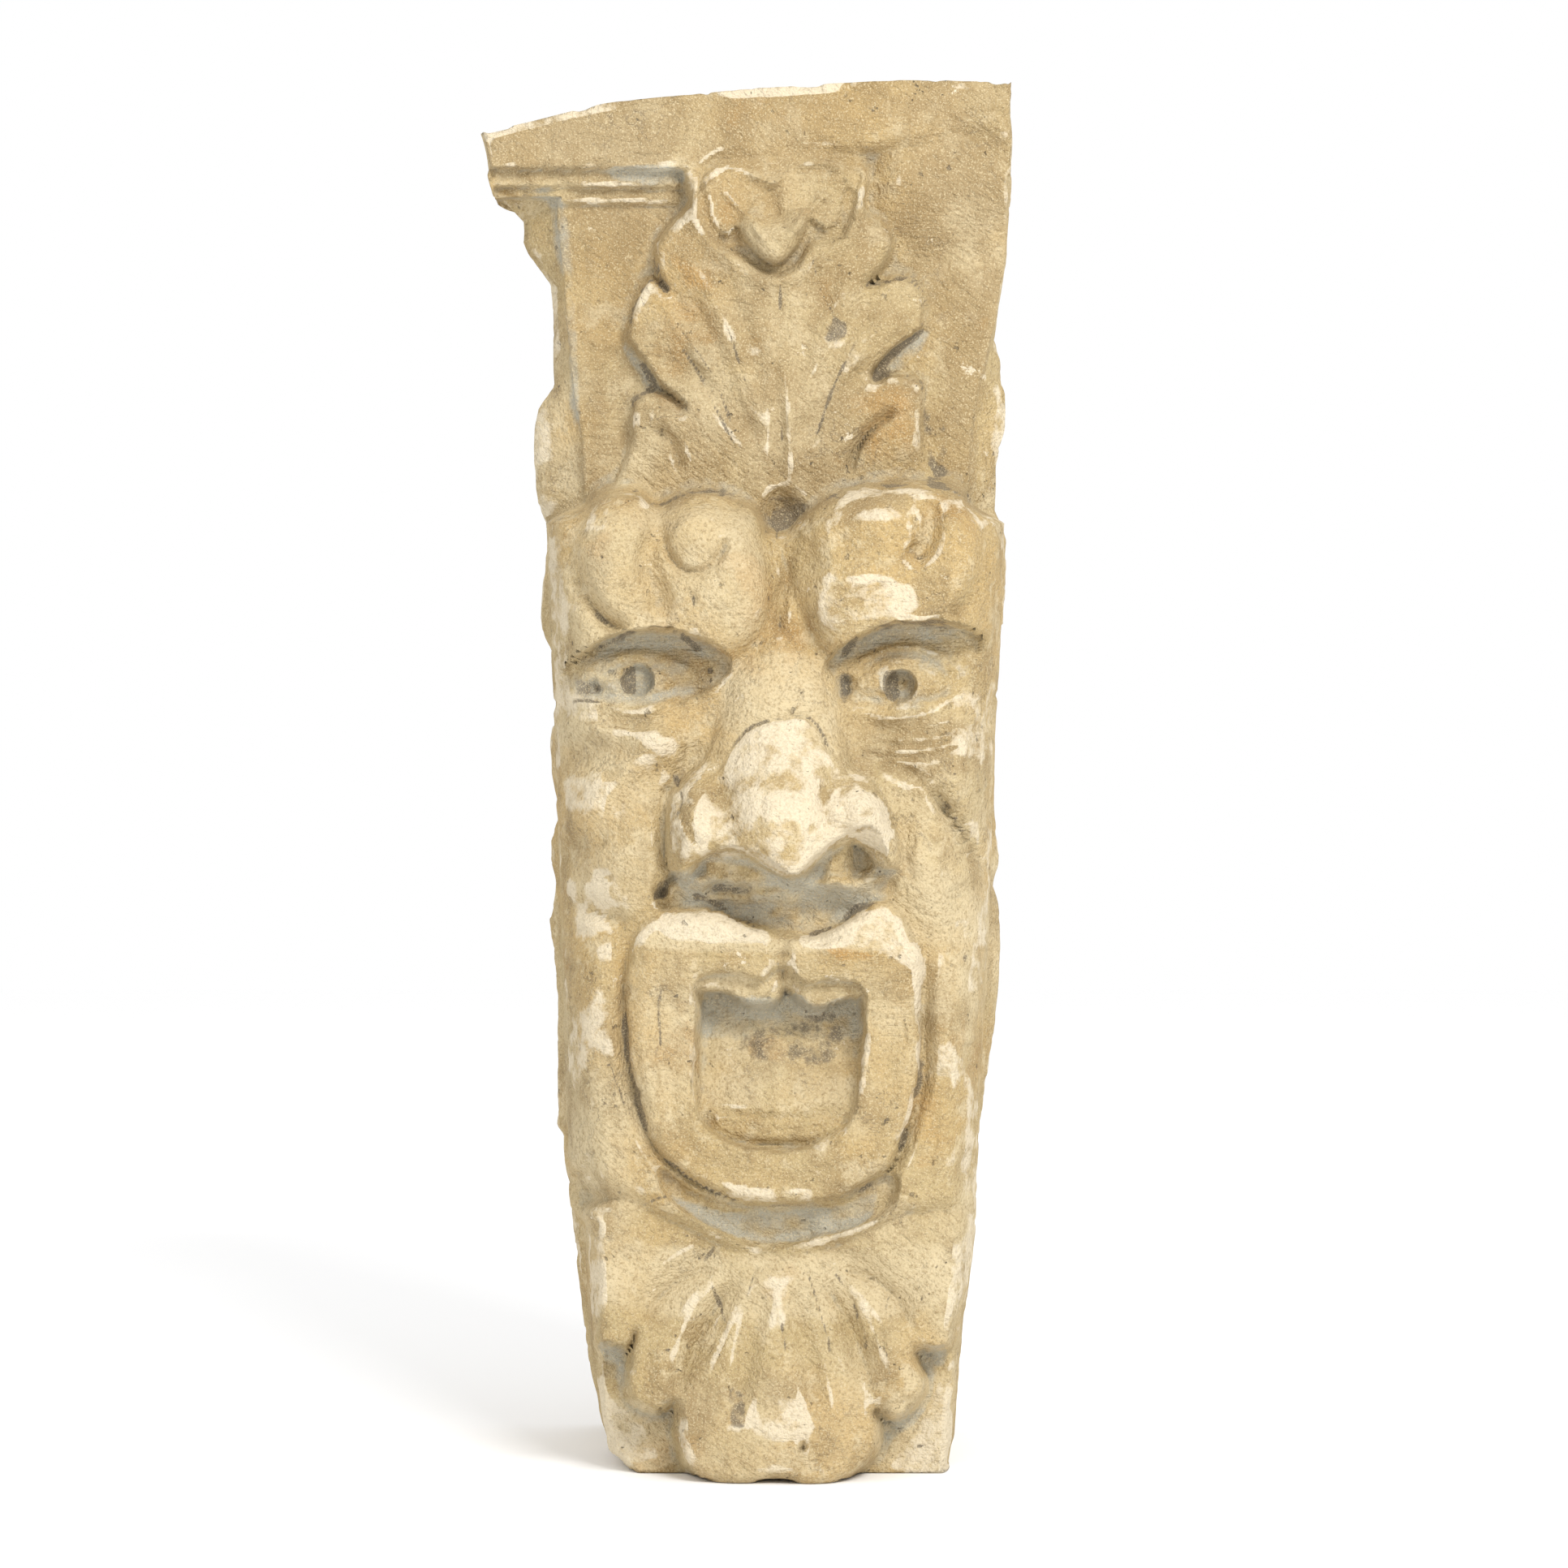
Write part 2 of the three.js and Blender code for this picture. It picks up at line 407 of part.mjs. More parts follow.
function nose(h, x, z) {
  // the whole wedge of the nose, then its ridge, the ball and the wings
  h = plate(h, x, z, NOSE, 58 + 24 * ramp((460 - z) / 90), 20, 15, 2.5);
  const half = 10 + 22 * ramp((486 - z) / 36) + 10 * ramp((450 - z) / 60);
  const foot = 46 + 14 * ramp((460 - z) / 90) - 50 * ramp((z - 478) / 14) - 90 * ramp((328 - z) / 16);
  h = spine(h, x, 1.5, half, foot, 16 + 8 * ramp((480 - z) / 40) + 19 * ramp((460 - z) / 90), 5);
  h = mound(h, x, z, [54, 428], [24, 32], -8);
  h = mound(h, x, z, [-50, 438], [18, 22], -5);
  h = mound(h, x, z, [1, 368], [36, 40], 8);
  h = mound(h, x, z, [48, 377], [27, 33], 17, -12);
  h = mound(h, x, z, [-45, 364], [28, 36], 15, 8);
  h = groove(h, x, z, [[40, 403], [31, 395], [27, 384], [30, 372], [38, 364]], 6, 5, 0.25);
  h = groove(h, x, z, [[-58, 384], [-53, 370], [-47, 360], [-43, 353]], 4, 3.5, 0.15);
  h = ridge(h, x, z, [[-38, 396], [-30, 380], [-28, 364], [-34, 354]], 10, -3, 0.25);
  // edge of the old repair over the ball
  h = scarp(h, x, z, [[38, 404], [30, 415], [20, 432], [4, 433], [-12, 429], [-24, 421], [-34, 404],
    [-44, 396]], 6, 2.2, 0.04, 1.2);
  return h;
}

function under_nose(h, x, z) {
  // the underside falls back from the rim to the lip
  const rim = [[-72, 340], [-62, 341], [-54, 337], [-46, 344], [-38, 353], [-24, 354], [-10, 346],
    [0, 338], [8, 334], [16, 337], [26, 351], [34, 359], [44, 365], [53, 368], [60, 362], [62, 350],
    [68, 344], [76, 340], [72, 330], [52, 325], [32, 310], [16, 306], [-10, 312], [-30, 319], [-48,
    323], [-66, 322]];
  h = pit(h, x, z, rim, 49 + 0.9 * Math.max(z - 322, 0), 1.0, 6.0);
  h = mound(h, x, z, [45, 353], [17, 13], -9, 20);
  h = mound(h, x, z, [-27, 344], [14, 9], -8);
  h = groove(h, x, z, [[-52, 343], [-40, 349], [-22, 349], [-6, 340]], 5, 6, 0.2);
  h = groove(h, x, z, [[17, 336], [27, 348], [40, 357], [56, 355], [64, 346]], 5, 7, 0.2);
  h = mound(h, x, z, [-46, 337], [11, 8], 7);
  h = mound(h, x, z, [-9, 328], [12, 8], 6);
  h = mound(h, x, z, [32, 337], [15, 8], 7, 10);
  h = mound(h, x, z, [53, 340], [11, 7], 5);
  h = groove(h, x, z, [[-44, 330], [-30, 334], [-14, 329]], 6, 9, 0.35);
  h = groove(h, x, z, [[-60, 343], [-64, 336], [-69, 327]], 5, 12, 0.2);
  h = groove(h, x, z, [[20, 339], [36, 342], [52, 341], [68, 344]], 3, 2.5, 0.2);
  h = ridge(h, x, z, [[20, 330], [40, 335], [60, 335]], 7, 4, 0.3);
  h = mound(h, x, z, [4, 326], [12, 16], 5);
  return h;
}

function cheeks(h, x, z) {
  // left: bag under the eye, a fold falling from the nose, the full cheek under it and two hollows beyond
  h = ridge(h, x, z, [[-58, 426], [-80, 422], [-104, 426], [-124, 432]], 12, 6, 0.3);
  h = ridge(h, x, z, [[-48, 424], [-74, 412], [-94, 396], [-118, 372], [-134, 352]], 15, 8, 0.2);
  h = mound(h, x, z, [-82, 350], [34, 60], 12, 14);
  h = mound(h, x, z, [-116, 408], [24, 15], -9, 35);
  h = mound(h, x, z, [-128, 352], [24, 13], -13, 50);
  h = ridge(h, x, z, [[-46, 420], [-52, 404], [-64, 394]], 9, -5, 0.25);
  h = groove(h, x, z, [[-60, 398], [-65, 378], [-65, 356], [-62, 340]], 7, 8, 0.15);
  h = groove(h, x, z, [[-150, 336], [-130, 330], [-114, 323], [-96, 317], [-78, 314]], 8, 7, 0.3);
  h = groove(h, x, z, [[-104, 400], [-97, 399], [-90, 402]], 4, 4, 0.3);
  h = groove(h, x, z, [[-102, 342], [-98, 339], [-95, 341]], 2, 3, 0.3);
  h = groove(h, x, z, [[-160, 433], [-132, 434], [-104, 438]], 8, 9, 0.4);
  // right: the full cheek, cut off below by a deep slanting fold
  h = mound(h, x, z, [106, 402], [34, 46], 12, -25);
  h = mound(h, x, z, [84, 346], [26, 54], 11, 20);
  h = ridge(h, x, z, [[46, 414], [58, 408], [74, 401], [88, 393]], 5, -4, 0.2);
  h = ridge(h, x, z, [[52, 402], [66, 396], [80, 388]], 6, 3, 0.25);
  h = scarp(h, x, z, [[140, 322], [126, 338], [109, 361], [97, 377], [82, 397]], 13, 9, 0.3);
  h = groove(h, x, z, [[140, 322], [124, 341], [109, 361], [97, 377], [83, 396]], 5, 9, 0.3);
  h = groove(h, x, z, [[71, 380], [74, 366], [74, 350], [80, 334]], 8, 4, 0.2);
  // jowls
  h = mound(h, x, z, [-108, 246], [32, 76], 9);
  h = mound(h, x, z, [108, 246], [30, 84], 9);
  h = ridge(h, x, z, [[-110, 268], [-103, 250], [-101, 225], [-103, 200]], 8, -3, 0.2);
  h = groove(h, x, z, [[124, 296], [119, 276], [118, 256]], 4, 2, 0.3);
  h = groove(h, x, z, [[-96, 232], [-88, 222], [-82, 206]], 5, 2, 0.3);
  h = mound(h, x, z, [-116, 163], [12, 12], -14);
  return h;
}

function mouth(h, x, z) {
  // channel round the ring, then the ring, which rises to the upper lip and is bevelled on its outer left
  h = groove(h, x, z, RING.slice(1, 16), 8, 11, 0.12);
  h = plate(h, x, z, RING, 58 + 9 * ramp((z - 258) / 40), 11, 9, 1.5);
  h = ridge(h, x, z, [[-79, 306], [-83, 280], [-84, 250], [-81, 220], [-72, 196]], 8, -3, 0.15);
  h = mound(h, x, z, [-42, 308], [34, 18], 3);
  h = mound(h, x, z, [42, 304], [34, 20], 3);
  h = ridge(h, x, z, [[3, 318], [2, 304], [2, 292]], 9, -4, 0.15);
  h = ridge(h, x, z, [[-66, 292], [-62, 260], [-62, 214], [-46, 178], [0, 166], [44, 176], [62, 210],
    [64, 262]], 10, -2, 0.1);
  // the inside: sharp and deepest under the teeth, easing forward to the lower lip
  h = pit(h, x, z, MOUTH, 26 + 20 * ramp((262 - z) / 64), 1.5, 6.0);
  h = plate(h, x, z, TEETH, 55, 5, 5, 1.0, 12.0);
  h = groove(h, x, z, [[3, 300], [3, 284], [4, 270]], 4, 6, 0.2);
  h = groove(h, x, z, [[-31, 296], [-32, 281], [-31, 268]], 3, 1.6, 0.3);
  h = groove(h, x, z, [[44, 292], [43, 277], [44, 264]], 3, 1.6, 0.3);
  // tongue, its blunt end scored by two bands
  h = mound(h, x, z, [0, 222], [34, 40], 4);
  h = groove(h, x, z, [[-41, 208], [-37, 194], [-18, 187], [0, 186], [20, 187], [37, 194], [40,
    208]], 4, 5, 0.1);
  h = groove(h, x, z, [[-38, 207], [-20, 203], [10, 201], [38, 206]], 3.5, 3, 0.1);
  h = groove(h, x, z, [[-36, 200], [-10, 196], [14, 195], [30, 198]], 2.5, 1.5, 0.1);
  h = mound(h, x, z, [-6, 244], [16, 10], 3);
  return h;
}

function beard(h, x, z) {
  // the block's own face beside the beard, then the gap under the chin
  h = Math.max(h, 20 * ramp((150 - z) / 14));
  h = pit(h, x, z, [[-66, 170], [-50, 158], [-28, 151], [0, 148], [34, 151], [54, 162], [66, 166],
    [62, 150], [44, 141], [22, 136], [4, 130], [-12, 129], [-28, 136], [-44, 145], [-60, 156]], 41,
    2.0, 3.0);
  const level = 44 + 15 * ramp((125 - z) / 110) + 6 * ramp((46 - Math.abs(x)) / 46);
  h = plate(h, x, z, BEARD, level, 10, 7, 1.5, 8.0);
  h = mound(h, x, z, [0, 130], [60, 26], -6);
  // folds fan from the top and the lobes swell between them
  for (const side of [-1, 1]) {
    h = ridge(h, x, z, [[side * 26, 122], [side * 56, 108], [side * 80, 80]], 15, -7, 0.3);
    h = ridge(h, x, z, [[side * 20, 118], [side * 40, 84], [side * 57, 38]], 13, -7.5, 0.3);
    h = ridge(h, x, z, [[side * 6, 112], [side * 16, 70], [side * 26, 20]], 10, -5, 0.25);
    h = groove(h, x, z, [[side * 34, 116], [side * 62, 104], [side * 80, 78]], 3, 4, 0.2);
    h = groove(h, x, z, [[side * 26, 108], [side * 44, 76], [side * 58, 36]], 3, 4, 0.2);
    h = mound(h, x, z, [side * 94, 100], [20, 34], 4, side * -20);
    h = mound(h, x, z, [side * 68, 56], [16, 26], 4, side * 25);
  }
  h = mound(h, x, z, [-28, 20], [24, 40], 4);
  h = mound(h, x, z, [26, 20], [24, 40], 4);
  h = groove(h, x, z, [[-20, 112], [-34, 80], [-44, 56]], 3, 1.8, 0.3);
  h = groove(h, x, z, [[14, 112], [22, 84], [34, 60]], 3, 1.8, 0.3);
  h = drill(h, x, z, [14.5, 12], 2.6, 12);
  return h;
}

function carve(x, z) {
  let h = 0;
  h = face_mass(h, x, z);
  h = brows(h, x, z);
  h = cheeks(h, x, z);
  h = eyes(h, x, z);
  h = nose(h, x, z);
  h = under_nose(h, x, z);
  h = mouth(h, x, z);
  h = beard(h, x, z);
  h = crown(h, x, z);
  h = cap(h, x, z);
  return h;
}

// How far the stone stands proud round a point: the middle counts double.
function proudAt(x, z) {
  let sum = 0;
  for (const [dx, dz] of [[0, 0], [0, 0], [-1, -1], [1, -1], [-1, 1], [1, 1]]) {
    turnOf = 0;
    sum += carve(x + dx * EASE_ACROSS, z + dz * EASE_UP);
  }
  return sum / 6;
}

function tailHalf(z) {
  return TAIL_HALF_FOOT + TAPER * z;
}

// Heights of the rows, closer together where the carving is finer.
function rowHeights() {
  const rows = [0];
  while (rows[rows.length - 1] < HEIGHT - 1) {
    const last = rows[rows.length - 1];
    rows.push(last + lookUp(ROW_PITCH, last));
  }
  const scale = HEIGHT / rows[rows.length - 1];
  return rows.map((z) => z * scale);
}

// Where a point of the laid-out carving really stands once it is h proud of the front.
function stand(x, z, h) {
  const near = 1 - h / SIGHT_DISTANCE;
  return [SIGHT[0] + (x - SIGHT[0]) * near, -h, SIGHT[1] + (z - SIGHT[1]) * near];
}

// Lowest and highest laid-out heights at x that put the finished surface on the foot and the top bed.
function footHeight(x) {
  const h = proudAt(x, 0);
  return SIGHT[1] - SIGHT[1] / (1 - h / SIGHT_DISTANCE);
}

function laidHeight(x, level) {
  const foot = footHeight(x) * ramp((FOOT_ZONE - level) / FOOT_ZONE);
  const top = lookUp(TOP_EDGE, x) * ramp((level - BED_ZONE) / (HEIGHT - BED_ZONE));
  return level + foot - top;
}

// One side of one row, from the end of the front strip round the corner and back to the wall plane.
function sideOfRow(level, sign) {
  const flank = lookUp(sign < 0 ? LEFT_FLANK : RIGHT_FLANK, level);
  const arris = lookUp(sign < 0 ? LEFT_ARRIS : RIGHT_ARRIS, level);
  const turn = lookUp(TURN, level);
  const back = lookUp(CORNER_BACK, level);
  const start = arris - turn;
  const points = [];
  const startHeight = laidHeight(sign * start, level);
  const startProud = proudAt(sign * start, startHeight);
  for (let k = 1; k <= CORNER_STEPS; k++) {
    const angle = (k / CORNER_STEPS) * Math.PI / 2;
    const x = sign * (start + turn * Math.sin(angle));
    const z = laidHeight(x, level);
    const proud = k < CORNER_STEPS ? proudAt(x, z) : startProud;
    points.push(stand(x, z, -back + (proud + back) * Math.cos(angle)));
  }
  const corner = points[points.length - 1];
  const tail = tailHalf(corner[2]);
  for (const part of SIDE_STATIONS) {
    const y = back + (WALL_PLANE - back) * part;
    const out = arris + (flank - arris) * ramp((y - back) / FLANK_ZONE);
    const fall = Math.sqrt(Math.max(0, 1 - part ** 4));
    const x = part < 1 ? tail + (out - tail) * fall : tail;
    points.push([sign * x, y, corner[2]]);
  }
  return { start, points };
}

// Places across of the front strip's points, from its left end to its right end.
function placesAcross(leftStart, rightStart) {
  const places = [];
  for (let k = OUTER_STEPS; k > 0; k--) {
    places.push(-INNER_HALF - (leftStart - INNER_HALF) * (k / OUTER_STEPS));
  }
  for (let k = 0; k <= INNER_STEPS; k++) places.push(INNER_HALF * (2 * k / INNER_STEPS - 1));
  for (let k = 1; k <= OUTER_STEPS; k++) {
    places.push(INNER_HALF + (rightStart - INNER_HALF) * (k / OUTER_STEPS));
  }
  return places;
}

function buildStone() {
  const rows = rowHeights().map((level) => {
    const left = sideOfRow(level, -1);
    const right = sideOfRow(level, 1);
    const front = placesAcross(left.start, right.start).map((x) => {
      const z = laidHeight(x, level);
      return stand(x, z, proudAt(x, z));
    });
    return [...left.points.reverse(), ...front, ...right.points];
  });
  const across = rows[0].length;
  for (const point of rows[0]) point[2] = 0;
  for (const end of [0, across - 1]) {
    for (const row of rows) row[end][0] = Math.sign(row[end][0]) * tailHalf(row[end][2]);
  }

  const positions = rows.flat(2);
  const count = () => positions.length / 3;
  const index = (r, c) => r * across + c;
  const triangles = [];
  const at = (i) => positions.slice(3 * i, 3 * i + 3);
  const faceNormal = (a, b, c) => {
    const [from, to, last] = [a, b, c].map((i) => new THREE.Vector3(...at(i)));
    return to.sub(from).cross(last.sub(from)).normalize();
  };
  // how sharply the two triangles of a four-sided cell meet along its diagonal a-c
  const bend = (a, b, c, d) => 1 - faceNormal(a, b, c).dot(faceNormal(a, c, d));
  for (let r = 0; r + 1 < rows.length; r++) {
    for (let c = 0; c + 1 < across; c++) {
      const [a, b, d, e] = [index(r, c), index(r, c + 1), index(r + 1, c + 1), index(r + 1, c)];
      if (bend(a, b, d, e) <= bend(b, d, e, a)) triangles.push(a, b, d, a, d, e);
      else triangles.push(b, d, e, b, e, a);
    }
  }

  // The tail: a row of points along the back of the top bed, and the two corners at the back of the foot.
  const top = rows.length - 1;
  const frontFirst = CORNER_STEPS + SIDE_STATIONS.length;
  const backTop = [];
  for (let k = 0; k <= FRONT_STEPS; k++) {
    const from = at(index(top, frontFirst + k));
    const x = -tailHalf(at(index(top, 0))[2])
      + (tailHalf(at(index(top, 0))[2]) + tailHalf(at(index(top, across - 1))[2])) * (k / FRONT_STEPS);
    const z = k === 0 ? at(index(top, 0))[2] : k === FRONT_STEPS ? at(index(top, across - 1))[2] : from[2];
    backTop.push(count());
    positions.push(x, DEPTH_BEHIND, z);
  }
  const footLeft = count();
  positions.push(-tailHalf(0), DEPTH_BEHIND, 0);
  const footRight = count();
  positions.push(tailHalf(0), DEPTH_BEHIND, 0);

  // top bed
  for (let k = 0; k < FRONT_STEPS; k++) {
    const [a, b] = [index(top, frontFirst + k), index(top, frontFirst + k + 1)];
    triangles.push(a, b, backTop[k + 1], a, backTop[k + 1], backTop[k]);
  }
  for (let c = 0; c < frontFirst; c++) triangles.push(index(top, c), index(top, c + 1), backTop[0]);
  for (let c = frontFirst + FRONT_STEPS; c + 1 < across; c++) {
    triangles.push(index(top, c), index(top, c + 1), backTop[FRONT_STEPS]);
  }
  // joint faces, fanned from the back corners to the rows at the wall plane
  const middle = Math.floor(rows.length / 2);
  for (let r = 0; r < top; r++) {
    const backLeft = r < middle ? footLeft : backTop[0];
    const backRight = r < middle ? footRight : backTop[FRONT_STEPS];
    triangles.push(index(r, 0), index(r + 1, 0), backLeft);
    triangles.push(index(r + 1, across - 1), index(r, across - 1), backRight);
  }
  triangles.push(index(middle, 0), backTop[0], footLeft);
  triangles.push(index(middle, across - 1), footRight, backTop[FRONT_STEPS]);
  // back face
  for (let k = 0; k < FRONT_STEPS; k++) triangles.push(footRight, backTop[k], backTop[k + 1]);
  triangles.push(footRight, footLeft, backTop[0]);
  // foot
  const foot = [];
  for (let c = 0; c < across; c++) foot.push(index(0, c));
  foot.push(footRight, footLeft);
  const flat = foot.map((i) => new THREE.Vector2(at(i)[0], at(i)[1]));
  for (const [a, b, c] of THREE.ShapeUtils.triangulateShape(flat, [])) {
    const turn = flat[b].clone().sub(flat[a]).cross(flat[c].clone().sub(flat[a]));
    if (turn > 0) triangles.push(foot[a], foot[c], foot[b]);
    else triangles.push(foot[a], foot[b], foot[c]);
  }

  const geometry = new THREE.BufferGeometry();
  geometry.setAttribute("position", new THREE.Float32BufferAttribute(positions, 3));
  geometry.setIndex(triangles);
  geometry.computeVertexNormals();
  return geometry;
}

const limestone = new THREE.MeshStandardMaterial({ color: 0xd6c08f, roughness: 0.92, metalness: 0 });
limestone.name = "limestone";
const keystone = new THREE.Mesh(buildStone(), limestone);
keystone.name = "keystone";
const part = new THREE.Group();
part.name = "keystone_with_mask";
part.add(keystone);

export default part;
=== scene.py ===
# %% [markdown]
# # A carved keystone with a shouting mask
# The object is one block of soft limestone, about 800 mm high: a wedge that closed an arch, with a grotesque
# face, a leaf on its brow and a leaf for a beard cut into the end that showed. This lesson builds it in
# Blender inside the frame of the CAD solid, so both agree on size and place. Units are metres in the
# file and millimetres in the carving, because a carver's marks are a few millimetres across.

# %% Load the frame
import math

import bmesh
import bpy
import numpy as np
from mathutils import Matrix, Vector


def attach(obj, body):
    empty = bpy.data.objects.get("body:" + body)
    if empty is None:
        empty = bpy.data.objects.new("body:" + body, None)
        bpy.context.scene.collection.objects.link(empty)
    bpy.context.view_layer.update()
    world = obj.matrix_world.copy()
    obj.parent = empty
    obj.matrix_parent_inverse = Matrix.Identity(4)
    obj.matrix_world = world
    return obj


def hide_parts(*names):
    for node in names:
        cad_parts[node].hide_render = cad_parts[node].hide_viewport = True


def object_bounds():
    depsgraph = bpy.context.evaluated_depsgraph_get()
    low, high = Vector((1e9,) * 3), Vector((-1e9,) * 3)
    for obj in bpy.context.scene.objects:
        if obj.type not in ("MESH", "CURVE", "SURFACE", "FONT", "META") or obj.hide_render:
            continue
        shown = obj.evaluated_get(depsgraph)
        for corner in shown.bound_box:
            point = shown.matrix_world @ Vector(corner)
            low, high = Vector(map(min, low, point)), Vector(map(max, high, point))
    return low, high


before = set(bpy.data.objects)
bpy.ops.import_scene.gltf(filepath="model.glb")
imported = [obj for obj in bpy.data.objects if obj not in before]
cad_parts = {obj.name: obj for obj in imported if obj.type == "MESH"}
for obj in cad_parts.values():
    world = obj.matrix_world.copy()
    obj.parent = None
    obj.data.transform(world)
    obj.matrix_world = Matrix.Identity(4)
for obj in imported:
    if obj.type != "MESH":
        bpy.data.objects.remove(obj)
cad_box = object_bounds()
MM = 0.001
print("CAD box", cad_box)

# %% [markdown]
# ## Sizes
# The same few sizes drive the CAD solid. The carving is laid out as it is seen from the front, from a
# point 2.6 m away, so anything that stands proud is drawn in towards that point when it is placed.

# %% Driving sizes, mm
HEIGHT = 800
TAIL_HALF_FOOT = 100
TAPER = 0.0425
WALL_PLANE = 70
DEPTH_BEHIND = 180
SIGHT = [3.7, 393.7]
SIGHT_DISTANCE = 2600
FOOT_ZONE = 60       # rows below this are eased to end level on the foot
BED_ZONE = 690       # rows above this are eased to end on the sloping top bed
FLANK_ZONE = 20      # behind the arris, how far the side takes to reach its full width

# %% [markdown]
# ## The carver's cuts
# A relief can be sculpted by hand, but code can also push the vertices of a fine grid. Each helper
# below is one kind of cut: it takes how far the stone stands proud at every point, and gives it back
# changed. Domes and plates add stone with a soft maximum, pits and grooves take it away, which is how
# a carver thinks of masses first and lines last.

# %% Easing and soft joins


def ramp(t):
    """An eased step from 0 to 1 as t goes from 0 to 1."""
    t = np.clip(t, 0, 1)
    return t * t * (3 - 2 * t)


def smax(a, b, k):
    """The larger of two heights, blended over k where they are alike."""
    t = np.clip(0.5 + 0.5 * (a - b) / k, 0, 1)
    return b + (a - b) * t + k * t * (1 - t)


def smin(a, b, k):
    return -smax(-a, -b, k)


def read_off(table, at):
    """Straight-line reading of a table of pairs."""
    pairs = np.array(table, float)
    return np.interp(at, pairs[:, 0], pairs[:, 1])


# %% Paths and outlines
STEPS_A_SPAN = 6


def curve(points, closed=False):
    """A smooth path through a few points."""
    p = np.array(points, float)
    if len(p) == 2:
        return p
    if closed:
        q = np.vstack([p[-1], p, p[0], p[1]])
    else:
        q = np.vstack([2 * p[0] - p[1], p, 2 * p[-1] - p[-2]])
    t = (np.arange(STEPS_A_SPAN) / STEPS_A_SPAN)[None, :, None]
    a, b, c, d = q[:-3, None], q[1:-2, None], q[2:-1, None], q[3:, None]
    path = 0.5 * (2 * b + (c - a) * t + (2 * a - 5 * b + 4 * c - d) * t * t
                  + (3 * b - a - 3 * c + d) * t ** 3)
    path = path.reshape(-1, 2)
    return path if closed else np.vstack([path, p[-1]])


def near(x, z, line, margin):
    """Which points lie in the box round a line, so that only those are measured."""
    low, high = line.min(0) - margin, line.max(0) + margin
    return (x > low[0]) & (x < high[0]) & (z > low[1]) & (z < high[1])


def measure(x, z, line):
    """Distance to a path, how far along it (0 to 1), and the side (positive on its left)."""
    spans = np.linalg.norm(np.diff(line, axis=0), axis=1)
    lengths = np.r_[0, np.cumsum(spans)]
    best = np.full(x.shape, 1e9)
    along = np.zeros(x.shape)
    side = np.zeros(x.shape)
    for i in range(len(line) - 1):
        a = line[i]
        ex, ez = line[i + 1] - a
        t = np.clip(((x - a[0]) * ex + (z - a[1]) * ez) / (ex * ex + ez * ez + 1e-12), 0, 1)
        dx, dz = x - a[0] - t * ex, z - a[1] - t * ez
        d = np.hypot(dx, dz)
        hit = d < best
        best = np.where(hit, d, best)
        along = np.where(hit, (lengths[i] + t * spans[i]) / lengths[-1], along)
        side = np.where(hit, np.sign(ex * dz - ez * dx), side)
    return best, along, side


def edge(x, z, loop):
    """Distance to a closed outline, positive inside."""
    best = measure(x, z, np.vstack([loop, loop[0]]))[0]
    odd = np.zeros(x.shape, bool)
    for a, b in zip(loop, np.roll(loop, -1, axis=0)):
        if b[1] != a[1]:
            odd ^= ((a[1] > z) != (b[1] > z)) & (x < a[0] + (b[0] - a[0]) * (z - a[1]) / (b[1] - a[1]))
    return np.where(odd, best, -best)


def part_of(value, chosen):
    """The chosen part of a field; a plain number is left as it is."""
    return value[chosen] if isinstance(value, np.ndarray) and value.shape == chosen.shape else value


def fade(t, ends):
    """Full strength along a path, running out over its ends."""
    return ramp(t / ends) * ramp((1 - t) / ends) if ends > 0 else 1.0


# %% Cuts along a path, all in mm
DRILL_WALL = 2.5     # how wide the wall of a drilled hole is, seen from the front
SPINE_FALL = 60      # how steeply stone falls away beside a spine
PLATE_REACH = 12     # beyond its outline a plate has fallen below everything
DEEPEST = 60         # no pit is deeper than this


def groove(h, x, z, points, width, depth, ends=0.15):
    """A V cut, running out at both ends; width is half its mouth."""
    line = curve(points)
    m = near(x, z, line, width + 1)
    d, t, _ = measure(x[m], z[m], line)
    v = np.clip(1 - d / width, 0, 1)
    h[m] = h[m] - depth * fade(t, ends) * v * (0.5 + 0.5 * v)
    return h


def ridge(h, x, z, points, width, rise, ends=0.2):
    """A soft ridge left standing along a path."""
    line = curve(points)
    m = near(x, z, line, width + 1)
    d, t, _ = measure(x[m], z[m], line)
    h[m] = h[m] + rise * fade(t, ends) * ramp(1 - d / width)
    return h


def scarp(h, x, z, points, width, drop, ends=0.15, toe=2.0):
    """A step: the side on the path's right drops sharply and comes back up over width."""
    line = curve(points)
    m = near(x, z, line, width + 1)
    d, t, s = measure(x[m], z[m], line)
    low = np.where(s < 0, np.clip(1 - d / width, 0, 1) ** 1.6, np.clip(1 - d / toe, 0, 1))
    h[m] = h[m] - drop * fade(t, ends) * low
    return h


# %% Domes, plates and hollows


def mound(h, x, z, at, size, rise, turn=0.0):
    """A soft swelling (or a hollow, with a negative rise) that dies away without an edge."""
    c, s = np.cos(np.radians(turn)), np.sin(np.radians(turn))
    dx, dz = x - at[0], z - at[1]
    r2 = ((dx * c + dz * s) / size[0]) ** 2 + ((-dx * s + dz * c) / size[1]) ** 2
    return h + rise * np.clip(1 - r2, 0, 1) ** 2


def drill(h, x, z, at, radius, depth):
    """A round sinking with steep sides."""
    d = np.hypot(x - at[0], z - at[1])
    return h - depth * ramp((radius - d) / DRILL_WALL)


def spine(h, x, middle, half, foot, rise, blend=4.0):
    """A rounded ridge running up the stone; half width, foot and rise may change with height."""
    q = np.abs(x - middle) / half
    top = np.where(q < 1, foot + rise * np.sqrt(np.clip(1 - q * q, 0, None)), foot - SPINE_FALL * (q - 1))
    return smax(h, top, blend)


